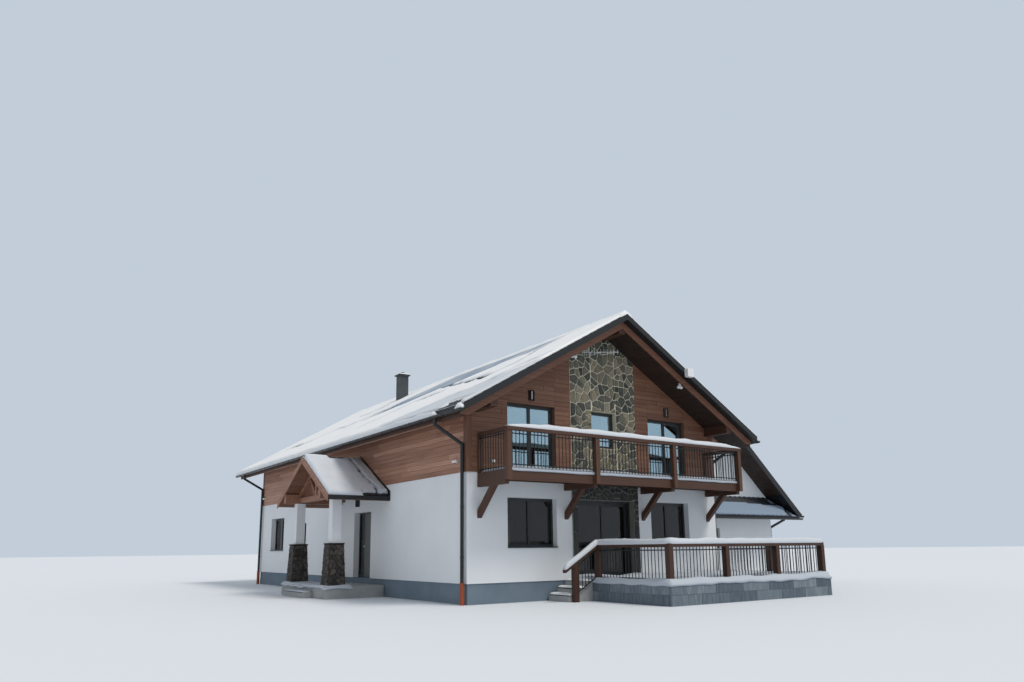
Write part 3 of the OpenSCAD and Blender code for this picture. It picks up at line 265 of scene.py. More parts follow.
# The long walls get lighter shades of the same stain: painted light of the low sun.
cladding_y_in_painted_light = grained("cladding_along_in_painted_light", ["#744D3D", "#9C735E", "#B28973", "#C8A08B"], 1, tone=0.5)
# Painted shade: the stain made darker for the soffits and the balcony deck.
STAIN_IN_PAINTED_SHADE = ["#1D130C", "#2C1D16", "#3A281E"]
stain_x_in_painted_shade = grained("stain_across_in_painted_shade", STAIN_IN_PAINTED_SHADE, 0)
stain_y_in_painted_shade = grained("stain_along_in_painted_shade", STAIN_IN_PAINTED_SHADE, 1)
BRACE_SHADES = ["#361E12", "#4E3021", "#633F2C"]
brace_x = grained("brace_stain_across", BRACE_SHADES, 0)
brace_y = grained("brace_stain_along", BRACE_SHADES, 1)
# Painted shade: the terrace posts and rail made darker than the balcony posts.
TERRACE_TIMBER_PAINTED_SHADE = ["#2E190B", "#432615", "#58351F"]
terrace_timber_x_in_painted_shade = grained("terrace_stain_across_in_painted_shade", TERRACE_TIMBER_PAINTED_SHADE, 0)
terrace_timber_z_in_painted_shade = grained("terrace_stain_upright_in_painted_shade", TERRACE_TIMBER_PAINTED_SHADE, 2)
balcony_z = grained("balcony_post_stain", ["#3E2617", "#593A28", "#714D39"], 2)
floor_boards = grained("oiled_floor_boards", ["#8A6A45", "#A98457", "#BD9868"], 1)

# %% Metal, paint and glass
# Concrete roof tiles, slate black: dense, slightly shiny when wet.
roof_tile = mottled("black_concrete_tile", ["#191C1F", "#22262A", "#2C3034"], 220, 8, 1.5, 0.55, tone=0.5)
# Folded sheet in anthracite coil coating: matt, with a little waviness. On the chimney it has faded.
coated_sheet = mottled("anthracite_coated_sheet", ["#0F1113", "#171A1D"], 400, 60, 1.0, 0.5)
faded_sheet = mottled("faded_coated_sheet", ["#33373B", "#44494D"], 300, 60, 1.0, 0.5)
gutter_sheet = mottled("black_coated_sheet", ["#121416", "#1C1F21"], 300, 50, 0.8, 0.4)
# Powder coat: an even satin skin, on steel bars and on aluminium-faced windows.
black_steel = mottled("black_powder_coat", ["#0F1011", "#1A1B1D"], 120, 6, 0.4, 0.5)
window_coat = mottled("anthracite_powder_coat", ["#1F2326", "#2A2E32"], 300, 8, 0.3, 0.42)
door_paint = mottled("grey_green_lacquer", ["#333936", "#3C423F", "#454B47"], 350, 20, 0.4, 0.4)
nickel = mottled("brushed_nickel", ["#A9ABAD", "#BDBFC0"], 60, 5, 0.2, 0.32, metallic=1.0)
# The antenna's rods have a dull white bloom of oxide, which scatters more light than it mirrors.
aluminium = mottled("oxidised_aluminium", ["#DDE1E5", "#ECEFF1"], 60, 8, 0.2, 0.5, metallic=0.2)
white_plastic = mottled("white_asa_plastic", ["#D9DCDE", "#E9EBEC"], 60, 6, 0.2, 0.5)
orange_pipe = mottled("orange_brown_drain_pvc", ["#8A3E1E", "#A24B26"], 90, 10, 0.3, 0.45)
opal_glass = mottled("opal_lamp_glass", ["#ECEAE2", "#F6F4EE"], 80, 10, 0.1, 0.25)


def pane(name, tints, mirror, shine):
    """Float glass. mirror is the share of the light thrown back as from metal, tinted by the tints, which
    paints a reflection in, and shine how strong the plain glass reflects. The panes are very slightly wavy."""
    made, tree, shader = shader_of(name, 0.02, mirror)
    place = add(tree, "ShaderNodeTexCoord").outputs["Object"]
    for what, value in (("Transmission Weight", 1.0), ("IOR", 1.52), ("Specular IOR Level", shine)):
        shader.inputs[what].default_value = value
    waves = add(tree, "ShaderNodeTexNoise", {"Vector": place, "Scale": 1 / (900 * MM), "Detail": 1.0})
    face_up(tree, shader, shades_of(tree, waves, tints), waves.outputs["Fac"], 1.0)
    return made


# Below, the panes look into dark rooms. Above, a pale blue mirror tint paints in a reflection of the sky.
glass = pane("float_glass", ["#5E5852", "#857A70"], 0.0, 0.3)
sky_glass = pane("float_glass_with_painted_sky_reflection", ["#C3E0EB", "#D5ECF3"], 0.6, 0.5)

# Snow, a day old: white and soft. Its tone number mixes in blue-grey, which is painted shade.
snow, tree, shader = shader_of("settled_snow", 0.75)
place = add(tree, "ShaderNodeTexCoord").outputs["Object"]
clouds = add(tree, "ShaderNodeTexNoise", {"Vector": place, "Scale": 1 / (700 * MM), "Detail": 4.0})
grain = add(tree, "ShaderNodeTexNoise", {"Vector": place, "Scale": 1 / (45 * MM), "Detail": 4.0})
own = add(tree, "ShaderNodeAttribute", attribute_name="tone").outputs["Fac"]
fresh = shades_of(tree, clouds, ["#DDE4EC", "#EAEEF2", "#F1F1F0"])
snow_with_painted_shade = add(tree, "ShaderNodeMix", {"Factor": own, "A": fresh, "B": linear("#7F91A6")}, data_type="RGBA")
face_up(tree, shader, snow_with_painted_shade.outputs["Result"], grain, 6.0)
print(len(bpy.data.materials), "materials")

# %% [markdown]
# ## Forms
# Cladding, stonework and blocks are all flat outlines laid on a face of the house and given a thickness.
# So one small class holds a face, one function keeps the part of an outline on one side of a line, and
# one raises a block with eased edges. Everything laid on a wall is made of these three.


# %% Faces and outlines
class Face:
    """A flat face of the house: a corner, the direction along it, the one up it and the one off it. Given
    at full length, the first two also say how wide and tall it is."""

    def __init__(self, corner, along, up):
        along, up = Vector(along), Vector(up)
        self.corner, self.wide, self.tall = Vector(corner), along.length, up.length
        self.along, self.up = along.normalized(), up.normalized()
        self.off = self.along.cross(self.up)

    def point(self, flat, out=0.0):
        return self.corner + self.along * flat[0] + self.up * flat[1] + self.off * out

    def matrix(self, out=0.0):
        """Places what was made flat, with X along the face and Y up it."""
        turn = Matrix((self.along, self.up, self.off)).transposed().to_4x4()
        return Matrix.Translation(self.corner + self.off * out) @ turn


def keep(outline, normal, limit):
    """The part of a convex outline on which normal . point is at most limit."""
    normal, kept = Vector(normal), []
    for here, following in zip(outline, outline[1:] + outline[:1]):
        a, b = here.dot(normal) - limit, following.dot(normal) - limit
        if a <= 0:
            kept.append(here)
        if a * b < 0:
            kept.append(here.lerp(following, a / (a - b)))
    return kept


def area(outline):
    return sum(a.cross(b) for a, b in zip(outline, outline[1:] + outline[:1])) / 2


def flat_points(*pairs):
    return [Vector(pair) for pair in pairs]


def rectangle(u0, v0, u1, v1):
    return flat_points((u0, v0), (u1, v0), (u1, v1), (u0, v1))


def drawn_in(outline, by):
    """The outline with every side moved in by that much."""
    kept = outline
    for a, b in zip(outline, outline[1:] + outline[:1]):
        if (b - a).length > 1e-6:
            normal = Vector(((b - a).y, -(b - a).x)).normalized()
            kept = keep(kept, normal, a.dot(normal) - by)
            if len(kept) < 3:
                return []
    return kept


def eased(outline, share):
    """The outline with its corners cut, so that a stone looks worn."""
    made = []
    for before, here, after in zip(outline[-1:] + outline[:-1], outline, outline[1:] + outline[:1]):
        made += [here.lerp(before, share), here.lerp(after, share)]
    return made


def clear_of(outline, holes):
    """The outline without the holes (u0, v0, u1, v1), as convex parts beside, over and under each."""
    parts = [outline] if len(outline) > 2 else []
    for u0, v0, u1, v1 in holes:
        split = []
        for whole in parts:
            rest = keep(whole, (-1, 0), -u0)
            middle = keep(rest, (1, 0), u1)
            split += [keep(whole, (1, 0), u0), keep(rest, (-1, 0), -u1), keep(middle, (0, 1), v0),
                      keep(middle, (0, -1), -v1)]
        parts = [part for part in split if len(part) > 2 and area(part) > 4e-4]
    return parts


# %% Blocks and pieces
def tone_of(elements):
    """The layer of faces or points that holds their tone."""
    return elements.layers.float.get("tone") or elements.layers.float.new("tone")


def join_rings(form, rings, capped=True):
    """Faces between each ring of points and the next, and over the first and the last."""
    made = [form.faces.new(rings[0][::-1]), form.faces.new(rings[-1])] if capped else []
    for low, high in zip(rings, rings[1:]):
        for i in range(len(low)):
            j = (i + 1) % len(low)
            made.append(form.faces.new((low[i], low[j], high[j], high[i])))
    return made


def raise_block(form, face, outline, back, front, edge):
    """A closed block on the face between two distances off it. Its front is drawn in by edge."""
    tone = tone_of(form.faces)
    middle = sum(outline, Vector((0, 0))) / len(outline)
    small = [p.lerp(middle, min(0.4, edge / max((p - middle).length, edge))) for p in outline]
    rings = [[form.verts.new(face.point(p, out)) for p in ring]
             for ring, out in ((outline, back), (outline, front - edge), (small, front))]
    own = chance.random()
    for side in join_rings(form, rings):
        side[tone] = own


def meshed(name, form):
    bmesh.ops.recalc_face_normals(form, faces=form.faces)
    mesh = bpy.data.meshes.new(name)
    form.to_mesh(mesh)
    form.free()
    return mesh


def placed(name, mesh, material, body="house", smooth=False):
    """Makes a mesh a piece that rides on a body of the model."""
    if smooth:
        mesh.shade_smooth()
    if not mesh.materials:
        mesh.materials.append(material)
    piece = in_scene(name, mesh)
    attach(piece, body)
    print(name, len(mesh.polygons), "faces")


# %% [markdown]
# ## Cladding
# The timber storey wears horizontal boards, a good 140 mm to the weather, which stop at the doors, at the
# stone bay, at the corner boards and under the slope of the roof. Each course is a strip of the wall's
# outline. Where it meets a door it is split beside it and over it, and a long course is jointed where a
# real board ends.

# %% Kinds of board, and courses of them
Board = namedtuple("Board", "course length gap front edge back stagger", defaults=(0, None))
CLADDING = Board(course=0.142, length=4.8, gap=0.007, front=0.02, edge=0.004)
SOFFIT = Board(course=0.14, length=3.6, gap=0.008, front=0.015, edge=0.003)
PORCH_GABLE = Board(course=0.12, length=3.6, gap=0.006, front=0.014, edge=0.003)
DECKING = Board(course=0.14, length=3.0, gap=0.01, front=0.012, edge=0.003)
BLOCK = Board(course=0.2745, length=1.1, gap=0.008, front=0.014, edge=0.005, back=-0.005, stagger=0.5)
DOOR_BOARD = Board(course=0.33, length=2.0, gap=0.012, front=0.004, edge=0.002, back=-0.001, stagger=0.0)


def lay_courses(form, kind, face, outline, holes):
    """Courses of a kind of board over the outline, each split into lengths, kept clear of the holes."""
    low, high = min(p.y for p in outline), max(p.y for p in outline)
    left, far_side = min(p.x for p in outline), max(p.x for p in outline)
    for row in range(math.ceil((high - low) / kind.course)):
        base = low + row * kind.course
        strip = keep(keep(outline, (0, -1), -base), (0, 1), base + kind.course - kind.gap)
        if len(strip) < 3:
            continue
        shift = chance.random() if kind.stagger is None else kind.stagger * (row % 2)
        joint = left - shift * kind.length
        while joint < far_side:
            end = joint + kind.length - kind.gap / 3
            board = keep(keep(strip, (-1, 0), -joint - kind.gap / 3), (1, 0), end)
            for part in clear_of(board, holes):
                if area(part) > 1e-3:
                    raise_block(form, face, part, kind.back, kind.front, kind.edge)
            joint += kind.length


def laid(name, material, walls, lay=lay_courses, body="house"):
    """One piece over several walls, each a kind of board or stone, a face, an outline and its holes."""
    form = bmesh.new()
    for kind, face, outline, *holes in walls:
        lay(form, kind, face, outline, holes)
    placed(name, meshed(name, form), material, body)


# %% Cladding of the upper walls
def slope_rise(node):
    """Height of a roof node's top edge at its ridge and at its far sides, and half its width."""
    points = [v.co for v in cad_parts[node].data.vertices]
    side = max(p.x for p in points)
    return max(p.z for p in points), max(p.z for p in points if p.x > side - MM), side


ridge_z, eave_z, half_span = slope_rise("roof_cover")
ROOF_RISE = (ridge_z - eave_z) / half_span
walls_low, walls_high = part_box("upper_front_walls")
back_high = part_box("upper_back_wall")[1]
bay_low, bay_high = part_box("stone_wall_upper")
under_deck_z = slope_rise("upper_front_walls")[0] + bay_high.x * ROOF_RISE
storey_z = walls_low.z
DOOR_W, DOOR_H, DOOR_X = 1.72, 2.07, 2.795
BACK_SILL, CORNER_W, UNDER_EAVE = 0.7, 0.14, 0.19
clad_half = walls_high.x - CORNER_W


def gable_outline(u0, u1):
    """Outline of the gable between two places, from the storey's floor to the underside of the deck."""
    tops = [(u, under_deck_z - abs(u) * ROOF_RISE - storey_z - 0.01) for u in (u1, 0, u0)]
    crown = tops[1:2] if u0 < 0 < u1 else []
    return flat_points((u0, 0), (u1, 0), tops[0], *crown, tops[2])


def door_hole(side, sill):
    return side * DOOR_X - DOOR_W / 2, sill, side * DOOR_X + DOOR_W / 2, DOOR_H


gable_front = Face((0, walls_low.y, storey_z), (1, 0, 0), UP)
gable_back = Face((0, back_high.y, storey_z), (-1, 0, 0), UP)
halves = [(CLADDING, gable_front, gable_outline(*sorted((side * bay_high.x, side * clad_half))),
           door_hole(side, -1)) for side in (-1, 1)]
laid("front_cladding", cladding_x, halves)
laid("back_cladding", cladding_x, [(CLADDING, gable_back, gable_outline(-clad_half, clad_half),
                                                door_hole(-1, BACK_SILL), door_hole(1, BACK_SILL))])
long_wall = rectangle(walls_low.y + CORNER_W, 0, back_high.y - CORNER_W,
                      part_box("upper_left_wall")[1].z - storey_z - UNDER_EAVE)
# The long walls get the lighter finish: painted light.
for name, side in (("left_cladding", -1), ("right_cladding", 1)):
    face = Face((side * walls_high.x, 0, storey_z), (0, side, 0), UP)
    laid(name, cladding_y_in_painted_light, [(CLADDING, face, long_wall)])

# %% [markdown]
# The same courses, laid on faces that look down, board the underside of the roof where it stands out, and
# the ceiling of the porch. Upright, they close the gable over the porch columns.


# %% Boards under the main roof
def under_slope(mid_x, side, y0, y1, x0, x1, apex_z, rise):
    """Soffit boards to one side of mid_x, from x0 to x1 out from it and from y0 to y1 along it."""
    face = Face((mid_x + side * x1, 0, apex_z - x1 * rise), (0, -side, 0), (-side, 0, rise))
    u0, u1 = sorted((-side * y0, -side * y1))
    return SOFFIT, face, rectangle(u0, 0, u1, (x1 - x0) * math.hypot(1, rise))


deck_low, deck_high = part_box("roof_deck")
laid("gable_soffit_boards", stain_y_in_painted_shade,
     [under_slope(0, side, y0, y1, 0.0, deck_high.x, under_deck_z, ROOF_RISE) for side in (-1, 1)
      for y0, y1 in ((deck_low.y, walls_low.y), (back_high.y, deck_high.y))])
laid("eave_soffit_boards", cladding_y_in_painted_light,
     [under_slope(0, side, walls_low.y, back_high.y, walls_high.x, deck_high.x, under_deck_z, ROOF_RISE)
      for side in (-1, 1)])

# %% Boards of the porch and under the balcony
porch_low, porch_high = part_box("porch_roof")
columns_low, columns_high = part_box("columns")
column_mid_x = (columns_low.x + columns_high.x) / 2
porch_mid_y = (porch_high.y + porch_low.y) / 2
porch_half = porch_high.y - porch_mid_y
PORCH_T, PORCH_RISE = 0.12, math.tan(math.radians(30))
TIE_TOP, BEHIND_COLUMNS = 3.3, 0.06
porch_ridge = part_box("porch_frame")[1].z
porch_under = porch_ridge - math.hypot(1, PORCH_RISE) * PORCH_T
half = (porch_high.x - porch_low.x) / 2 - 0.01
foot_z = porch_under - porch_half * PORCH_RISE
ceiling = rectangle(-half, 0, half, porch_half * math.hypot(1, PORCH_RISE))
panels = [(SOFFIT, Face(((porch_low.x + porch_high.x) / 2, porch_mid_y + side * porch_half, foot_z),
                        (side, 0, 0), (0, -side, PORCH_RISE)), ceiling) for side in (-1, 1)]
reach = (porch_under - TIE_TOP) / PORCH_RISE
panels.append((PORCH_GABLE, Face((column_mid_x + BEHIND_COLUMNS, porch_mid_y, TIE_TOP), UP, (0, 1, 0)),
               flat_points((0, -reach), (porch_under - TIE_TOP, 0), (0, reach))))
laid("porch_boards", cladding_z, panels)

floor_low, floor_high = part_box("balcony_deck")
half = floor_high.x - 0.02
laid("balcony_floor_boards", stain_x_in_painted_shade,
     [(DECKING, Face((0, floor_high.y, floor_low.z), (1, 0, 0), (0, -1, 0)),
       rectangle(-half, 0, half, floor_high.y - floor_low.y))])

# %% [markdown]
# ## Stonework
# The middle bay is faced with flat pieces of quarried stone, laid like crazy paving in pale mortar. Such a
# pattern is what falls out when every point of the wall goes to its nearest stone. So seeds are strewn
# over the bay, each keeps the part of the wall that is nearer to it than to its neighbours, and that
# outline is drawn in by half a joint, its corners are worn, and it is raised off the mortar.

# %% Crazy stonework
Stone = namedtuple("Stone", "size joint front edge leave_out")
BAY_STONE = Stone(size=0.2, joint=0.032, front=0.028, edge=0.01, leave_out=0.3)
SMALLER_STONE = BAY_STONE._replace(size=BAY_STONE.size * 0.8)
COLUMN_STONE = Stone(size=0.13, joint=0.014, front=0.03, edge=0.01, leave_out=0.1)


def lay_stones(form, kind, face, outline, holes):
    """Stones of a kind over a convex outline, clear of the holes."""
    size = kind.size
    u0, u1 = min(p.x for p in outline), max(p.x for p in outline)
    v0, v1 = min(p.y for p in outline), max(p.y for p in outline)
    seeds = []
    for i in range(math.ceil((u1 - u0) / size)):
        for j in range(math.ceil((v1 - v0) / size)):
            jitter = Vector((chance.uniform(-0.45, 0.45), chance.uniform(-0.45, 0.45)))
            seed = Vector((u0 + (i + 0.5) * size, v0 + (j + 0.5) * size)) + jitter * size
            in_hole = any(a0 < seed.x < a1 and b0 < seed.y < b1 for a0, b0, a1, b1 in holes)
            if chance.random() > kind.leave_out and not in_hole:
                seeds.append(seed)
    for seed in seeds:
        stone = outline
        for other in seeds:
            if other is not seed and (other - seed).length < 4 * size:
                stone = keep(stone, other - seed, ((other + seed) / 2).dot(other - seed))
        for part in clear_of(stone, holes):
            part = drawn_in(part, kind.joint / 2)
            if len(part) > 2 and area(part) > 0.06 * size * size:
                raise_block(form, face, eased(part, 0.05), -0.005, kind.front * chance.uniform(0.7, 1.1),
                            kind.edge)


# %% Stones of the bay
TERRACE_DOOR_W, TERRACE_DOOR_TOP = 2.3, 2.88
SILL, WINDOW_W, WINDOW_H = 0.95, 1.02, 1.15
lower_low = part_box("stone_wall_lower")[0]
# The stones under the balcony get the darker finish: painted shade.
laid("lower_fieldstones", stone_in_painted_shade,
     [(SMALLER_STONE, Face((0, lower_low.y, 0), (1, 0, 0), UP),
       rectangle(-bay_high.x, lower_low.z, bay_high.x, storey_z),
       (-TERRACE_DOOR_W / 2, -1, TERRACE_DOOR_W / 2, TERRACE_DOOR_TOP))], lay_stones)
laid("upper_fieldstones", fieldstone,
     [(BAY_STONE, Face((0, bay_low.y, storey_z), (1, 0, 0), UP), gable_outline(-bay_high.x, bay_high.x),
       (-WINDOW_W / 2, SILL, WINDOW_W / 2, SILL + WINDOW_H))], lay_stones)

# %% Stones of the porch columns
bases_low, bases_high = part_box("column_bases")
BASE_FOOT, BASE_HEAD, BASE_CAP = 0.56, 0.44, 0.05
base_mid_y = (bases_low.y + bases_high.y) / 2
column_gap = (columns_high.y - columns_low.y) / 2 - (columns_high.x - columns_low.x) / 2
base_tall = bases_high.z - bases_low.z - BASE_CAP
sides = []
for side in (-1, 1):
    middle = Vector((column_mid_x, base_mid_y + side * column_gap, bases_low.z))
    for turn in range(4):
        quarter = Matrix.Rotation(turn * math.pi / 2, 3, "Z")
        out = quarter @ Vector((0, -1, 0))
        foot, head = middle + out * BASE_FOOT / 2, middle + out * BASE_HEAD / 2 + UP * base_tall
        tall = (head - foot).length
        tapered = flat_points((-BASE_FOOT / 2, 0), (BASE_FOOT / 2, 0), (BASE_HEAD / 2, tall),
                              (-BASE_HEAD / 2, tall))
        sides.append((COLUMN_STONE, Face(foot, quarter @ Vector((1, 0, 0)), head - foot), tapered))
laid("column_stones", base_stone, sides, lay_stones)

# %% Blocks of the terrace wall
terrace_low, terrace_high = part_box("terrace_walls")
INSET = 0.004
sides = []
wide, deep = terrace_high.x - terrace_low.x, terrace_high.y - terrace_low.y
for x, y, along in ((terrace_low.x, terrace_low.y, (wide, 0, 0)),
                    (terrace_high.x, terrace_low.y, (0, deep, 0)),
                    (terrace_low.x, terrace_high.y, (0, -deep, 0))):
    face = Face((x, y, 0), along, UP)
    sides.append((BLOCK, face, rectangle(INSET, 0, face.wide - INSET, terrace_high.z - INSET)))
# These blocks get the darker, bluer finish: painted shade.
laid("terrace_blocks", split_block_in_painted_shade, sides)

# %% [markdown]
# ## Roof tiles
# Tiles are the plainest case of one thing repeated, so Geometry Nodes lay them: a grid of points on the
# slope, one tile on each point, a hair of unevenness, then real geometry. The tile itself is a short run
# of a wave, thick at its lower edge, where it laps over the one below.

# %% One tile
TILE_W, TILE_L, TILE_STEP, TILE_T, WAVE, WAVE_STEPS = 0.3, 0.42, 0.345, 0.018, 0.022, 6


def to_repeat(name, rings):
    """A closed bar through rings of places, as an object that Geometry Nodes can repeat."""
    form = bmesh.new()
    join_rings(form, [[form.verts.new(place) for place in ring] for ring in rings])
    return in_scene(name, meshed(name, form))


rings = []
for y, lift in ((0.0, TILE_T), (TILE_L, 0.0)):
    over = [Vector((u * TILE_W * 1.02, y, lift + WAVE * (0.5 - 0.5 * math.cos(2 * math.pi * u))))
            for u in (i / WAVE_STEPS for i in range(WAVE_STEPS + 1))]
    rings.append(over + [p - UP * TILE_T for p in reversed(over)])
tile = to_repeat("one_tile", rings)

# %% A field and a row, in Geometry Nodes
# Count and Step repeat a piece one way, Rows and Row step the other, with a seeded unevenness.
repeat = bpy.data.node_groups.new("repeat", "GeometryNodeTree")
for name, kind in (("Piece", "Object"), ("Count", "Int"), ("Rows", "Int"), ("Step", "Float"),
                   ("Row step", "Float"), ("Unevenness", "Float"), ("Material", "Material")):
    repeat.interface.new_socket(name=name, in_out="INPUT", socket_type="NodeSocket" + kind)
repeat.interface.new_socket(name="Geometry", in_out="OUTPUT", socket_type="NodeSocketGeometry")
given = add(repeat, "NodeGroupInput").outputs
spans, centres = [], []
for count, step in (("Count", "Step"), ("Rows", "Row step")):
    fewer = add(repeat, "ShaderNodeMath", {0: given[count], 1: 1.0}, operation="SUBTRACT")
    spans.append(add(repeat, "ShaderNodeMath", {0: fewer, 1: given[step]}, operation="MULTIPLY"))
    centres.append(add(repeat, "ShaderNodeMath", {0: spans[-1], 1: 0.5}, operation="MULTIPLY"))
grid = add(repeat, "GeometryNodeMeshGrid", {"Size X": spans[0], "Size Y": spans[1],
                                            "Vertices X": given["Count"], "Vertices Y": given["Rows"]})
corner = add(repeat, "ShaderNodeCombineXYZ", {0: centres[0], 1: centres[1]})
moved = add(repeat, "GeometryNodeSetPosition", {"Geometry": grid, "Offset": corner})
source = add(repeat, "GeometryNodeObjectInfo", {"Object": given["Piece"], "As Instance": True})
less = add(repeat, "ShaderNodeMath", {0: given["Unevenness"], 1: -1.0}, operation="MULTIPLY")
lean = add(repeat, "FunctionNodeRandomValue", {"Seed": 3, "Min": less, "Max": given["Unevenness"]},
           data_type="FLOAT_VECTOR")
points = add(repeat, "GeometryNodeInstanceOnPoints", {"Points": moved, "Rotation": lean,
                                                      "Instance": source.outputs["Geometry"]})
shade = add(repeat, "FunctionNodeRandomValue", {"Seed": 5}, data_type="FLOAT").outputs[1]
shaded = add(repeat, "GeometryNodeStoreNamedAttribute", {"Geometry": points, "Name": "tone", "Value": shade},
             data_type="FLOAT", domain="INSTANCE")
real = add(repeat, "GeometryNodeRealizeInstances", {"Geometry": shaded})
coated = add(repeat, "GeometryNodeSetMaterial", {"Geometry": real, "Material": given["Material"]})
add(repeat, "NodeGroupOutput", {"Geometry": coated})
print("The repeating tree has", len(repeat.nodes), "nodes")


# %% Run the tree
def repeated(name, what, place, material, count, step, rows=1, row_step=1.0, unevenness=0.0):
    """Runs the tree and returns a plain mesh, moved to its place on the house."""
    holder = in_scene(name + "_maker", bpy.data.meshes.new(name + "_maker"))
    grow = holder.modifiers.new("repeat", "NODES")
    grow.node_group = repeat
    values = {"Piece": what, "Count": count, "Rows": rows, "Step": step, "Row step": row_step,
              "Unevenness": unevenness, "Material": material}
    for item in repeat.interface.items_tree:
        if item.in_out == "INPUT":
            grow[item.identifier] = values[item.name]
    mesh = bpy.data.meshes.new_from_object(holder.evaluated_get(bpy.context.evaluated_depsgraph_get()))
    bpy.data.objects.remove(holder)
    mesh.name = name
    mesh.transform(place)
    return mesh


# %% Tiles on every slope
cover_low, cover_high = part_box("roof_cover")
roof_long = cover_high.y - cover_low.y
wing_low, wing_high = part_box("wing_roof")
wing_walls_low, wing_walls_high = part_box("wing_walls")
wing_ridge, wing_eave, wing_side = slope_rise("wing_roof")
wing_mid = (wing_walls_low.x + wing_walls_high.x) / 2
wing_half = wing_side - wing_mid
wing_rise = (wing_ridge - wing_eave) / wing_half
porch_rise = porch_half * PORCH_RISE
VERGE, FLASHING, PORCH_EDGE, VALLEY = 0.03, 0.03, 0.01, 0.02
TILE_LIFT, UNEVEN, EAVE_GAP, RIDGE_GAP = 0.004, 0.004, 0.02, 0.01
porch_long = porch_high.x - porch_low.x - PORCH_EDGE - FLASHING


def slope_of(low, high, side, mid_x, half, ridge, rise):
    """The slope to one side of a ridge that runs along Y, as far out as half."""
    y0, y1 = (low.y + VERGE, high.y - VERGE)[::side]
    return Face((mid_x + side * half, y0, ridge - half * rise), (0, y1 - y0, 0),
                (-side * half, 0, half * rise))


def tile_slope(name, face):
    """Covers a slope with whole tiles, a little closer or wider than usual."""
    count, rows = round(face.wide / TILE_W), math.ceil((face.tall - TILE_L) / TILE_STEP) + 1
    run = face.tall - TILE_L - EAVE_GAP - RIDGE_GAP
    start = face.matrix(TILE_LIFT) @ Matrix.Translation((0, EAVE_GAP, 0))
    mesh = repeated(name, tile, start, roof_tile, count, face.wide / count, rows, run / (rows - 1), UNEVEN)
    placed(name, mesh, roof_tile)


slopes = {
    "left": slope_of(cover_low, cover_high, -1, 0, half_span, ridge_z, ROOF_RISE),
    "right": slope_of(cover_low, cover_high, 1, 0, half_span, ridge_z, ROOF_RISE),
    "porch_front": Face((porch_low.x + PORCH_EDGE, porch_low.y, porch_ridge - porch_rise),
                        (porch_long, 0, 0), (0, porch_half, porch_rise)),
    "porch_rear": Face((porch_high.x - FLASHING, porch_high.y, porch_ridge - porch_rise),
                       (-porch_long, 0, 0), (0, -porch_half, porch_rise)),
    "wing": slope_of(wing_low, wing_high, 1, wing_mid, wing_half, wing_ridge, wing_rise),
    "wing_inner": slope_of(wing_low, wing_high, -1, wing_mid, wing_mid - wing_low.x - VALLEY, wing_ridge,
                           wing_rise)}
for name, slope in slopes.items():
    tile_slope(name + "_tiles", slope)


# %% Tiles of the pent roof, and the soffit of the wing
# The pent roof in front of the wing runs in under its verge, so its tiles stop there.
def top_edge(node, y):
    """Height of the top edge that a node has at that place along Y."""
    return max(v.co.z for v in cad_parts[node].data.vertices if abs(v.co.y - y) < MM)


def under_wing(point):
    return wing_ridge - WING_T - (point.x - wing_mid) * wing_rise - point.z


def trimmed(mesh, count, inside):
    """The mesh without those of its equal pieces, of count points each, that have a point outside."""
    form = bmesh.new()
    form.from_mesh(mesh)
    form.verts.ensure_lookup_table()
    gone = []
    for first in range(0, len(form.verts), count):
        piece = form.verts[first:first + count]
        if min(inside(v.co) for v in piece) < 0:
            gone += piece
    bmesh.ops.delete(form, geom=gone, context="VERTS")
    form.to_mesh(mesh)
    form.free()
    return mesh


WING_T, WING_UNDER, PENT_ROWS, PENT_SNOW_W = 0.32, 0.306, 3, 7.1
pent_low, pent_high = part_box("wing_pent_roof")
pent_foot, pent_head = (top_edge("wing_pent_roof", y) for y in (pent_low.y, pent_high.y))
pent_slope = Face((pent_low.x, pent_low.y, pent_foot), (pent_high.x - pent_low.x, 0, 0),
                  (0, pent_high.y - pent_low.y, pent_head - pent_foot))
pent_count = round(pent_slope.wide / TILE_W)
pent_tiles = repeated("pent_tiles", tile, pent_slope.matrix(TILE_LIFT), roof_tile, pent_count,
                      pent_slope.wide / pent_count, PENT_ROWS, (pent_slope.tall - TILE_L) / (PENT_ROWS - 1),
                      UNEVEN)
placed("pent_tiles", trimmed(pent_tiles, len(tile.data.vertices), under_wing), roof_tile)
bpy.data.objects.remove(tile)
laid("wing_soffit_boards", stain_y_in_painted_shade,
     [under_slope(wing_mid, side, wing_low.y + 0.01, wing_walls_low.y - 0.005, 0.0, end,
                  wing_ridge - WING_UNDER, wing_rise) for side, end in ((-1, 2.85), (1, 2.95))])

# %% [markdown]
# A ridge is closed by half-round caps, each lapping a little over the next. One cap is a short bent shell,
# and the same tree lays the whole row. The hooks that carry the gutters are the other thing that returns
# every 600 mm along an eave, so they are made in the same way.


# %% Ridge caps and gutter hooks
def bent_strip(name, radius, thick, first, last, steps, long, taper=0.0):
    """A strip bent about the X axis between two angles, which are counted from +Y up to +Z."""
    angles = [math.radians(first + (last - first) * i / steps) for i in range(steps + 1)]
    rings = []
    for x, outer in ((0.0, radius + taper), (long, radius)):
        bend = [(a, outer) for a in angles] + [(a, outer - thick) for a in reversed(angles)]
        rings.append([(x, math.cos(a) * r, math.sin(a) * r) for a, r in bend])
    return to_repeat(name, rings)


def along_line(name, what, start, end, material, step, unevenness=0.0):
    """Lays one thing after another from start to end, with its X along the line."""
    way = Vector(end) - Vector(start)
    count = round(way.length / step)
    mesh = repeated(name, what, Face(start, way, UP.cross(way)).matrix(), material, count,
                    way.length / count, unevenness=unevenness)
    placed(name, mesh, material)


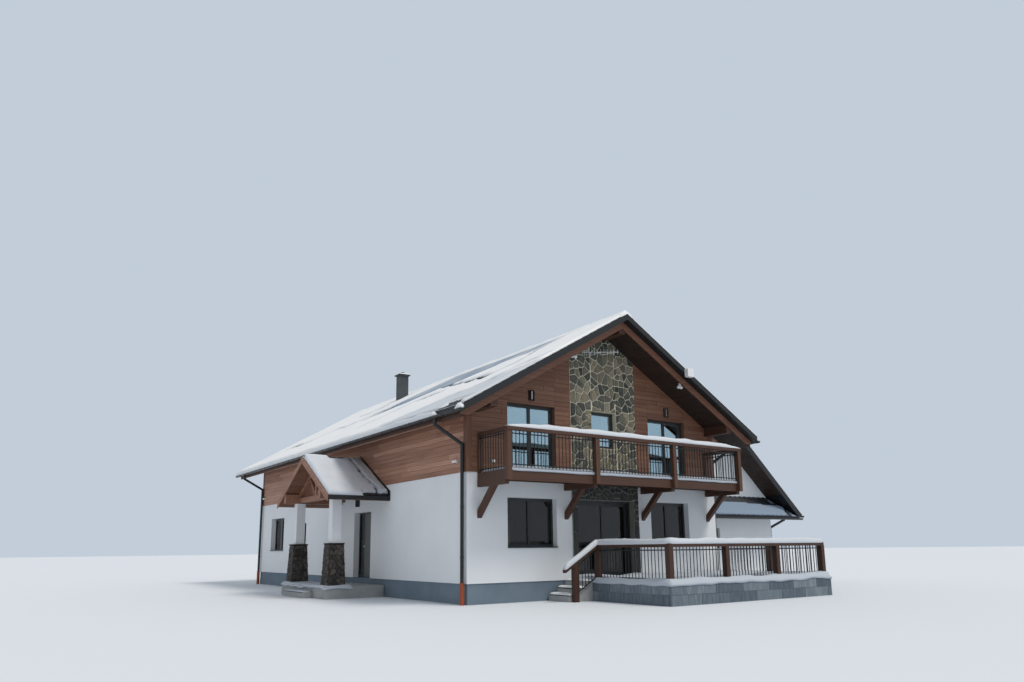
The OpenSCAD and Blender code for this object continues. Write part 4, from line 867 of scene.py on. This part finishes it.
CAP, CAP_T, CAP_R, CAP_LAP, CAP_TAPER = 0.4, 0.014, 0.12, 1.06, 0.012
CAP_SINK, WING_CAP_SINK, CAP_START = 0.045, 0.06, 0.15
cap = bent_strip("one_cap", CAP_R, CAP_T, 12, 168, 10, CAP * CAP_LAP, CAP_TAPER)
for name, start, end in (
        ("ridge_caps", (0, cover_low.y + CAP_START, ridge_z - CAP_SINK),
         (0, cover_high.y - CAP_START, ridge_z - CAP_SINK)),
        ("porch_ridge_caps", (porch_low.x + PORCH_EDGE, porch_mid_y, porch_ridge - CAP_SINK),
         (porch_high.x - FLASHING, porch_mid_y, porch_ridge - CAP_SINK)),
        ("wing_ridge_caps", (wing_mid, wing_low.y + CAP_START, wing_ridge - WING_CAP_SINK),
         (wing_mid, wing_high.y - CAP_START, wing_ridge - WING_CAP_SINK))):
    along_line(name, cap, start, end, roof_tile, CAP, UNEVEN)
bpy.data.objects.remove(cap)

GUTTER_R, HOOK_STEP, HOOK_W, HOOK_T = 0.075, 0.62, 0.028, 0.004
FIRST_HOOK, LAST_HOOK = 0.3, 0.2
gutter_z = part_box("gutters")[1].z
hook = bent_strip("one_hook", GUTTER_R + 2 * HOOK_T, HOOK_T, -184, 4, 14, HOOK_W)
for name, x in (("left_gutter_hooks", -half_span - GUTTER_R), ("right_gutter_hooks", half_span + GUTTER_R)):
    along_line(name, hook, (x, cover_low.y + FIRST_HOOK, gutter_z), (x, cover_high.y - LAST_HOOK, gutter_z),
               gutter_sheet, HOOK_STEP)
bpy.data.objects.remove(hook)

# %% [markdown]
# Downpipes hang in clips: three on each pipe of the house and two on the wing's. A clip is a ring, so it
# is a small profile turned about the pipe.

# %% Pipe clips
PIPE_R, PIPE_OFF, PIPE_IN, CLIP_STEPS = 0.05, 0.09, 0.11, 20
CLIP_MM = (-2, -16), (6, -16), (8, -12), (8, 12), (6, 16), (-2, 16)
pipes = [(side * (walls_high.x + PIPE_OFF), y, (1.25, 2.6, 3.9)) for side in (-1, 1)
         for y in (walls_low.y + PIPE_IN, back_high.y - PIPE_IN)]
pipes.append((wing_walls_high.x + PIPE_OFF, wing_walls_low.y + PIPE_IN, (1.0, 1.9)))
clips = bmesh.new()
for middle in [Vector((x, y, z)) for x, y, heights in pipes for z in heights]:
    rings = []
    for i in range(CLIP_STEPS):
        a = 2 * math.pi * i / CLIP_STEPS
        out = Vector((math.cos(a), math.sin(a), 0))
        rings.append([clips.verts.new(middle + out * (PIPE_R + off * MM) + UP * up * MM)
                      for off, up in CLIP_MM])
    join_rings(clips, rings + rings[:1], capped=False)
placed("pipe_clips", meshed("pipe_clips", clips), gutter_sheet)

# %% [markdown]
# Three small things are left on the walls: a weatherproof socket by the balcony door, an air grille under
# the porch roof, and the boards that the entrance leaf is faced with.

# %% Socket, grille and door boards
SOCKET_X, SOCKET_Z = -4.14, 0.33
plate = bmesh.new()
for half, tall, back, front, edge in ((0.05, 0.08, 0.01, 0.032, 0.004), (0.038, 0.06, 0.03, 0.052, 0.006)):
    block = rectangle(SOCKET_X - half, SOCKET_Z - tall / 2, SOCKET_X + half, SOCKET_Z + tall / 2)
    raise_block(plate, gable_front, block, back, front, edge)
placed("wall_socket", meshed("wall_socket", plate), white_plastic)

VENT_HALF, VENT_H, RIM, SLAT, SLAT_STEP = 0.18, 0.22, 0.02, 0.016, 0.025
inner = VENT_HALF - RIM
vent_face = Face((-walls_high.x, -0.55, 3.19), (0, -1, 0), UP)
rims = [(-VENT_HALF, 0, VENT_HALF, RIM), (-VENT_HALF, VENT_H - RIM, VENT_HALF, VENT_H),
        (-VENT_HALF, RIM, -inner, VENT_H - RIM), (inner, RIM, VENT_HALF, VENT_H - RIM)]
slats = [(-inner, v, inner, v + SLAT) for v in (0.026 + i * SLAT_STEP for i in range(7))]
vent = bmesh.new()
for bars, front, edge in ((rims, 0.016, 0.003), (slats, 0.01, 0.004)):
    for bar in bars:
        raise_block(vent, vent_face, rectangle(*bar), -0.002, front, edge)
placed("air_grille", meshed("air_grille", vent), window_coat)

door_low, door_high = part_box("entrance_door")
frame_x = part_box("entrance_frame")[0].x
leaf_face = Face((frame_x + 0.01, (door_low.y + door_high.y) / 2, door_low.z), (0, -1, 0), UP)
inner = (door_high.y - door_low.y) / 2 - 0.05
laid("door_boards", door_paint,
     [(DOOR_BOARD, leaf_face, rectangle(-inner, 0.06, inner, door_high.z - door_low.z - 0.05))],
     body="entrance_leaf")

# %% [markdown]
# ## Snow
# Snow lies on every upward face: a hand deep on the rails, thinner and cracked on the big slope. A sheet
# of it is a grid whose height is a smooth noise, rounded off at its edges, and where the height falls
# under the tiles they show through as the dark cracks that sliding snow leaves. On a rail it is a long
# loaf, swept along the rail.


# %% A sheet of snow
def level(x0, y0, x1, y1, z):
    return Face((x0, y0, z), (x1 - x0, 0, 0), (0, y1 - y0, 0))


def even(u, v):
    return 1.0, 0.0


def snow_sheet(name, face, thick, cell, height_at=even, lift=0.0, droop=0.0, narrow=0.0, ease=1.6, short=0.0):
    """A closed sheet of snow on a face, short of its top. height_at(u, v) gives a share of the thickness
    and a tone, which is its share of painted shade. Its edges hang over by about droop and are rounded over
    ease thicknesses, and its top is shorter by narrow."""
    form = bmesh.new()
    tone = tone_of(form.verts)
    along, up = face.wide, face.tall - short
    columns, rows = max(2, round(along / cell)), max(2, round(up / cell))
    over, under = {}, {}
    for i in range(columns + 1):
        for j in range(rows + 1):
            u, v = along * i / columns, up * j / rows
            inside = min(u, along - u, v, up - v)
            u *= 1 - narrow * v / up / along
            place = face.point((u, v))
            swell = math.sqrt(1 - (1 - min(1.0, inside / (ease * thick) + 0.04)) ** 2)
            share, own = height_at(u, v)
            uneven = 1 + 0.28 * noise.noise(place * 1.3) + 0.08 * noise.noise(place * 6)
            hang = droop * max(0.0, 1 - inside / 0.1) * (0.6 + 0.8 * noise.noise(place * 2.1))
            for grid, out in ((over, thick * swell * share * uneven), (under, -0.02)):
                grid[i, j] = form.verts.new(face.point((u, v), lift - hang + out))
                grid[i, j][tone] = own
    for i in range(columns):
        for j in range(rows):
            corners = (i, j), (i + 1, j), (i + 1, j + 1), (i, j + 1)
            form.faces.new([over[corner] for corner in corners])
            form.faces.new([under[corners[-k]] for k in range(4)])
    rim = [(i, 0) for i in range(columns)] + [(columns, j) for j in range(rows)]
    rim += [(i, rows) for i in range(columns, 0, -1)] + [(0, j) for j in range(rows, 0, -1)]
    for a, b in zip(rim, rim[1:] + rim[:1]):
        form.faces.new((under[a], under[b], over[b], over[a]))
    placed(name, meshed(name, form), snow, smooth=True)


# %% A loaf of snow
def snow_loaf(form, points, width, tall, shade=0.0, saddle=0.0, run_out=0.1):
    """A loaf of snow along a line of points, which lie on the middle of what carries it. On a ridge its
    sides fall at the rate saddle. At its ends it rises to its height over about run_out metres. shade is
    its share of painted shade."""
    tone = tone_of(form.verts)
    points = [Vector(p) for p in points]
    stations = []
    for a, b in zip(points, points[1:]):
        count = max(1, round((b - a).length / 0.1))
        stations += [a.lerp(b, i / count) for i in range(count)]
    stations.append(points[-1])
    total = sum((b - a).length for a, b in zip(points, points[1:]))
    rings, gone = [], 0.0
    for k, here in enumerate(stations):
        before, after = stations[max(0, k - 1)], stations[min(len(stations) - 1, k + 1)]
        gone += (here - before).length
        across = (after - before).normalized().cross(UP).normalized()
        swell = math.sqrt(1 - (1 - min(1.0, (min(gone, total - gone) + 0.01) / run_out)) ** 2)
        high = tall * swell * (1 + 0.22 * noise.noise(here * 1.7) + 0.1 * noise.noise(here * 7))
        half = width * (0.92 + 0.08 * swell + 0.05 * noise.noise(here * 2.3 + UP * 9)) / 2
        foot = -0.012 - saddle * half
        ring = [(t * half, high * (1 - abs(t) ** 3.2) - saddle * abs(t) * half)
                for t in (-1 + 2 * i / 10 for i in range(11))]
        ring += [(half - 0.01, foot), (0.01 - half, foot)]
        rings.append([form.verts.new(here + across * out + UP * up) for out, up in ring])
        for point in rings[-1]:
            point[tone] = shade
    join_rings(form, rings)


def snow_loaves(name, *loaves):
    form = bmesh.new()
    for loaf in loaves:
        snow_loaf(form, *loaf)
    placed(name, meshed(name, form), snow, smooth=True)


# %% Tears in the snow
# Where the snow has slid it has torn, in lines that run up and along a slope. Each is given by a few
# places on it: metres from the left verge, as one faces the slope, and metres up from the eave.
TEARS = [[(12.7, 4.3), (14.5, 4.1), (17.6, 3.2), (18.4, 3.9), (18.0, 5.3), (18.2, 6.6)],
         [(11.2, 1.0), (12.2, 1.7), (12.5, 2.4), (13.0, 2.9), (13.2, 3.2), (15.0, 3.0)],
         [(0.9, 1.0), (2.3, 1.9), (4.4, 2.0), (5.9, 2.8), (7.6, 2.9), (8.6, 3.7), (9.9, 3.8), (10.8, 4.5)],
         [(4.9, 4.6), (6.2, 4.4), (7.6, 5.2)],
         [(15.4, 0.1), (17.4, 1.1), (19.2, 2.0), (19.6, 3.0), (20.7, 3.6)]]
RIGHT_TEARS = [[(2.1, 1.2), (3.4, 1.9), (5.2, 2.1)], [(9.0, 4.4), (10.6, 3.7), (13.0, 3.9)],
               [(15.2, 1.0), (16.1, 2.2), (18.0, 2.6)]]
WING_TEARS = [[(1.8, 1.6), (3.1, 2.2), (4.6, 2.1)], [(5.4, 3.9), (7.1, 3.3)]]


def ripple(u, v, seed):
    """A smooth noise between about -1 and 1."""
    return noise.noise(Vector((u, v, seed)))


def ridged(value, width):
    """1 on the line where value is 0, falling to 0 at that width."""
    return max(0.0, 1 - abs(value) / width)


def ramp(value, low, high):
    """0 below low, 1 above high, and a straight rise between them."""
    return max(0.0, min(1.0, (value - low) / (high - low)))


def near(path, here):
    """Distance from a point to a path."""
    best = 99.0
    for a, b in zip(path, path[1:]):
        a, b = Vector(a), Vector(b)
        best = min(best, (here - a.lerp(b, ramp((here - a).dot(b - a), 0, (b - a).length_squared))).length)
    return best


def torn_along(tears, u, v):
    """How deep a tear is at that place, and the place itself, moved a little so that no edge is straight.
    A tear closes towards its ends."""
    wander = 0.3 * ripple(u * 0.5, v * 0.7, 3) + 0.16 * ripple(u * 2.4, v * 2.4, 5)
    here = Vector((u + wander, v + wander + 0.07 * ripple(u * 6, v * 6, 8)))
    width = max(0.06, 0.26 + 0.24 * ripple(u * 1.1, v * 1.1, 9))
    deepest = 0.0
    for path in tears:
        to_end = min((here - Vector(path[0])).length, (here - Vector(path[-1])).length)
        deepest = max(deepest, ridged(near(path, here), width * min(1.0, 0.2 + to_end)))
    return deepest, here


def torn(u, v):
    """Share of the snow left on the big slope, and its painted shade: a band where the snow is thin, the
    corner by the front eave, and along the tears.
    """
    tear, here = torn_along(TEARS, u, v)
    along = here.x - 9.4
    thin_shaded_band = ramp(18.2 - here.x, 0, 0.9) * ramp(here.y - 0.33 * along - 2.8, 0, 0.35)
    thin_shaded_band *= ramp(4.4 + 1.6 * along - here.y, 0, 0.5) * (0.86 + 0.3 * ripple(u * 0.7, v * 1.1, 13))
    # The corner by the front eave gets painted shade.
    front = ramp(here.x, 15.6, 16.6) * ramp(0.55 * (here.x - 15.2) - here.y, 0, 0.25)
    bare_corner = roof_long - 1.4 < here.x < roof_long - 0.25 and v < 0.5 + 0.3 * (here.x - u)
    share = (1 - 0.5 * thin_shaded_band) * (1 - 1.9 * tear)
    return (-0.4, 0.0) if bare_corner else (share, min(1.0, thin_shaded_band + 0.4 * front + 1.3 * tear))


def worn_by(tears):
    """The same for a plainer slope with those tears: painted shade along them."""
    def worn(u, v):
        tear = torn_along(tears, u, v)[0]
        return 0.95 - 1.9 * tear, 0.8 * tear
    return worn


def slipped(u, v):
    """Snow of the porch: a groove beside the wall, and bare tiles where a piece has slipped off. All of it
    carries painted shade, deeper in the groove.
    """
    wander = 0.1 * ripple(u * 3, v * 3, 2)
    groove = ridged(u + wander - porch_long + 0.36 + 0.05 * v, 0.05)
    gone = u > porch_long - 0.95 + wander and v < 0.14 + wander
    porch_up = slopes["porch_front"].tall
    crest = ridged(u - porch_long / 2 - 0.1 + wander, 0.4) * ramp(v, porch_up - 0.22, porch_up - 0.08)
    return (-0.3 if gone else (1 - 1.5 * groove) * (1 - 1.2 * crest)), 0.4 + 0.5 * groove


def scraped(u, v):
    """Snow of the pent roof, bare along its head and towards the wing's verge, and all in painted shade."""
    wander = 0.12 * ripple(u * 0.8, v * 3, 4)
    bare = v > pent_slope.tall - 0.22 + wander - 0.05 * u or u > 6.6 + 2 * wander
    return (-0.3 if bare else 0.9), 1.0


def trodden_and_painted_shade(u, v):
    """Snow that people have walked on: uneven, and blue-grey with painted shade."""
    return 0.85 + 0.5 * ripple(u * 0.9, v * 0.9, 21), 0.6


# %% Snow on the roofs
snow_sheet("left_roof_snow", slopes["left"], 0.06, 0.066, torn, lift=0.025, ease=1.0, short=0.02)
snow_sheet("right_roof_snow", slopes["right"], 0.06, 0.09, worn_by(RIGHT_TEARS), lift=0.025, short=0.02)
snow_sheet("porch_front_snow", slopes["porch_front"], 0.13, 0.045, slipped, lift=0.01, ease=0.7)
snow_sheet("porch_rear_snow", slopes["porch_rear"], 0.13, 0.07, lift=0.01, ease=0.7)
snow_sheet("wing_roof_snow", slopes["wing"], 0.05, 0.09, worn_by(WING_TEARS), lift=0.025, short=0.02)
snow_sheet("wing_inner_snow", slopes["wing_inner"], 0.05, 0.12, lift=0.025, short=0.02)
pent_bed = Face(pent_slope.corner, (PENT_SNOW_W, 0, 0), pent_slope.up * pent_slope.tall)
snow_sheet("pent_snow", pent_bed, 0.05, 0.06, scraped, lift=0.02, narrow=0.9, ease=0.8)
snow_loaves("ridge_snow",
            ([(0, cover_low.y + 0.01, ridge_z + 0.02), (0, cover_high.y - 0.01, ridge_z + 0.02)],
             0.6, 0.11, 0.0, ROOF_RISE),
            ([(wing_mid, y, wing_ridge + 0.01) for y in (wing_low.y + 0.01, wing_high.y - 0.01)],
             0.5, 0.11, 0.0, wing_rise),
            ([(porch_low.x + 0.02, porch_mid_y, porch_ridge + 0.04),
              (porch_low.x + 0.9, porch_mid_y, porch_ridge + 0.04)], 0.34, 0.1, 0.3, PORCH_RISE))
# At the eaves it has crept out over the gutters. Beside the bare corner a lump has stayed on the verge.
lip_x, lip_z = half_span + GUTTER_R - 0.02, gutter_z + 0.01
lump_x, lump_z = 0.03 - lip_x, lip_z + 0.02
snow_loaves("eave_snow",
            ([(-lip_x, cover_high.y - 0.03, lip_z), (-lip_x, cover_low.y + 1.4, lip_z)], 0.19, 0.16, 0.2),
            ([(lump_x, cover_low.y + 0.33, lump_z), (lump_x, cover_low.y + 0.02, lump_z)], 0.18, 0.16),
            ([(lip_x, cover_low.y + 0.05, lip_z), (lip_x, cover_high.y - 0.05, lip_z)], 0.17, 0.14, 0.2))
CHIMNEY_TOP = ridge_z + 0.62
chimney_low, chimney_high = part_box("chimney")
snow_sheet("chimney_snow", level(chimney_low.x, chimney_low.y, chimney_high.x, chimney_high.y, CHIMNEY_TOP),
           0.05, 0.03, ease=0.8)

# %% Snow on rails
RAIL_W, LEFT_X, STAIR_Y, KNEE_X, STAIR_FALL = 0.14, -1.3, -10.255, -1.375, 0.58
rail_low, rail_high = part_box("balcony_rail")
ends = [(x, rail_low.y + RAIL_W / 2, rail_high.z) for x in (rail_low.x + 0.01, rail_high.x - 0.01)]
snow_loaves("balcony_rail_snow", (ends, 0.155, 0.13, 0.3, 0.0, 1.6))

low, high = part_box("terrace_rail")
front_y, right_x = low.y + RAIL_W / 2, high.x - RAIL_W / 2
turns = [(x, y, high.z) for x, y in ((right_x, high.y), (right_x, front_y), (LEFT_X, front_y),
                                     (LEFT_X, STAIR_Y), (KNEE_X, STAIR_Y))]
turns.append((low.x, STAIR_Y, high.z - (KNEE_X - low.x) * STAIR_FALL))
snow_loaves("terrace_rail_snow", (turns, 0.17, 0.14, 0.4))

# %% Snow on the floors
OVER, TREAD, LANDING, TREADS, STEP_HALF = 0.03, 0.3, 0.25, 3, 0.9
bed = level(terrace_low.x - OVER, terrace_low.y - OVER, terrace_high.x + OVER, terrace_high.y, terrace_high.z)
snow_sheet("terrace_snow", bed, 0.15, 0.07, trodden_and_painted_shade, droop=0.06, ease=0.4)
bed = level(floor_low.x, rail_low.y + 0.12, floor_high.x, floor_high.y - 0.02, floor_high.z)
snow_sheet("balcony_snow", bed, 0.12, 0.06, trodden_and_painted_shade, droop=0.02, ease=0.4)
low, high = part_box("terrace_steps")
for i in range(TREADS):
    x0 = low.x + i * TREAD
    x1 = x0 + (TREAD if i < TREADS - 1 else LANDING)
    bed = level(x0, low.y, x1, high.y, (i + 1) * high.z / TREADS)
    snow_sheet(f"step_snow_{i + 1}", bed, 0.06, 0.05, droop=0.01)
low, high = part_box("porch_floor")
bed = level(low.x + 0.27, low.y - OVER, low.x + 1.22, high.y + OVER, high.z)
snow_sheet("porch_floor_snow", bed, 0.06, 0.06, trodden_and_painted_shade, droop=0.1)
bed = level(low.x, porch_mid_y - STEP_HALF, low.x + 0.28, porch_mid_y + STEP_HALF, high.z / 2)
snow_sheet("porch_step_snow", bed, 0.05, 0.05, trodden_and_painted_shade)

# %% [markdown]
# ## Finishes on the model's own parts
# What the construction model already shapes rightly keeps its form and only gets its finish. A part that
# is of two materials, such as a door with its fittings, has a second finish on the faces that lie in them.
# The upper panes get a second finish as well: a painted reflection of the sky.


# %% Coat the nodes
def coat(material, *nodes):
    for name in nodes:
        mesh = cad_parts[name].data
        mesh.materials.clear()
        mesh.materials.append(material)


def coat_between(node, material, axis, low, high):
    """A second finish on the faces of a node that lie wholly between two places along an axis."""
    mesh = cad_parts[node].data
    mesh.materials.append(material)
    inside = [side for side in mesh.polygons
              if all(low < mesh.vertices[i].co[axis] < high for i in side.vertices)]
    for side in inside:
        side.material_index = len(mesh.materials) - 1
    print(node, len(inside), "faces of", material.name)


coat(plinth_render, "plinth")
coat(cast_concrete, "ground_slab", "terrace_floor", "terrace_steps", "porch_floor", "wing_floor")
coat(plaster, "front_walls", "left_wall_front", "left_wall_back", "left_wall_lintel", "right_wall",
     "back_wall", "columns", "wing_walls")
coat(mortar, "stone_wall_upper")
coat(mortar_in_painted_shade, "stone_wall_lower")
coat(block_joint, "terrace_walls")
coat(base_mortar, "column_bases")
coat(floor_boards, "upper_floor")
coat(cladding_x, "upper_front_walls", "upper_back_wall", "barge_boards")
coat(cladding_y_in_painted_light, "upper_left_wall", "upper_right_wall", "porch_frame")
coat(cladding_z, "corner_boards")
coat(brace_y, "roof_deck", "purlins")
coat(stain_x_in_painted_shade, "balcony_deck")
coat(brace_x, "balcony_frame", "balcony_rail")
coat(balcony_z, "balcony_posts")
coat(terrace_timber_z_in_painted_shade, "terrace_posts")
coat(terrace_timber_x_in_painted_shade, "terrace_rail")
coat(coated_sheet, "roof_cover", "porch_roof", "wing_roof", "wing_pent_roof")
coat(faded_sheet, "chimney")
coat(gutter_sheet, "gutters", "downpipes")
coat(black_steel, "balcony_balusters", "terrace_balusters", "wall_lamps")
coat(window_coat, "window_frames", "window_sills", "terrace_door_frame", "terrace_door_leaf",
     "entrance_frame")
coat(orange_pipe, "drain_pipes")
coat(aluminium, "antenna")
coat(white_plastic, "cameras")
coat(opal_glass, "lamp_glasses")
coat(glass, "window_glass", "terrace_leaf_glass")
coat(door_paint, "entrance_door")
# The upper panes get a pale blue mirror tint: a painted reflection of the sky.
UPPER_PANES = 3.6, 7.0
coat_between("window_glass", sky_glass, 2, *UPPER_PANES)
# What stands off the frame's inner side and off both sides of the leaf is its metal fittings.
for node, start, end in (("entrance_frame", 0.0795, 0.2), ("entrance_door", -0.2, 0.0098),
                         ("entrance_door", 0.0802, 0.3)):
    coat_between(node, nickel, 0, frame_x + start, frame_x + end)

# %% Sizes
low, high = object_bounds()
print("Seen", [round(side, 2) for side in high - low], "m")
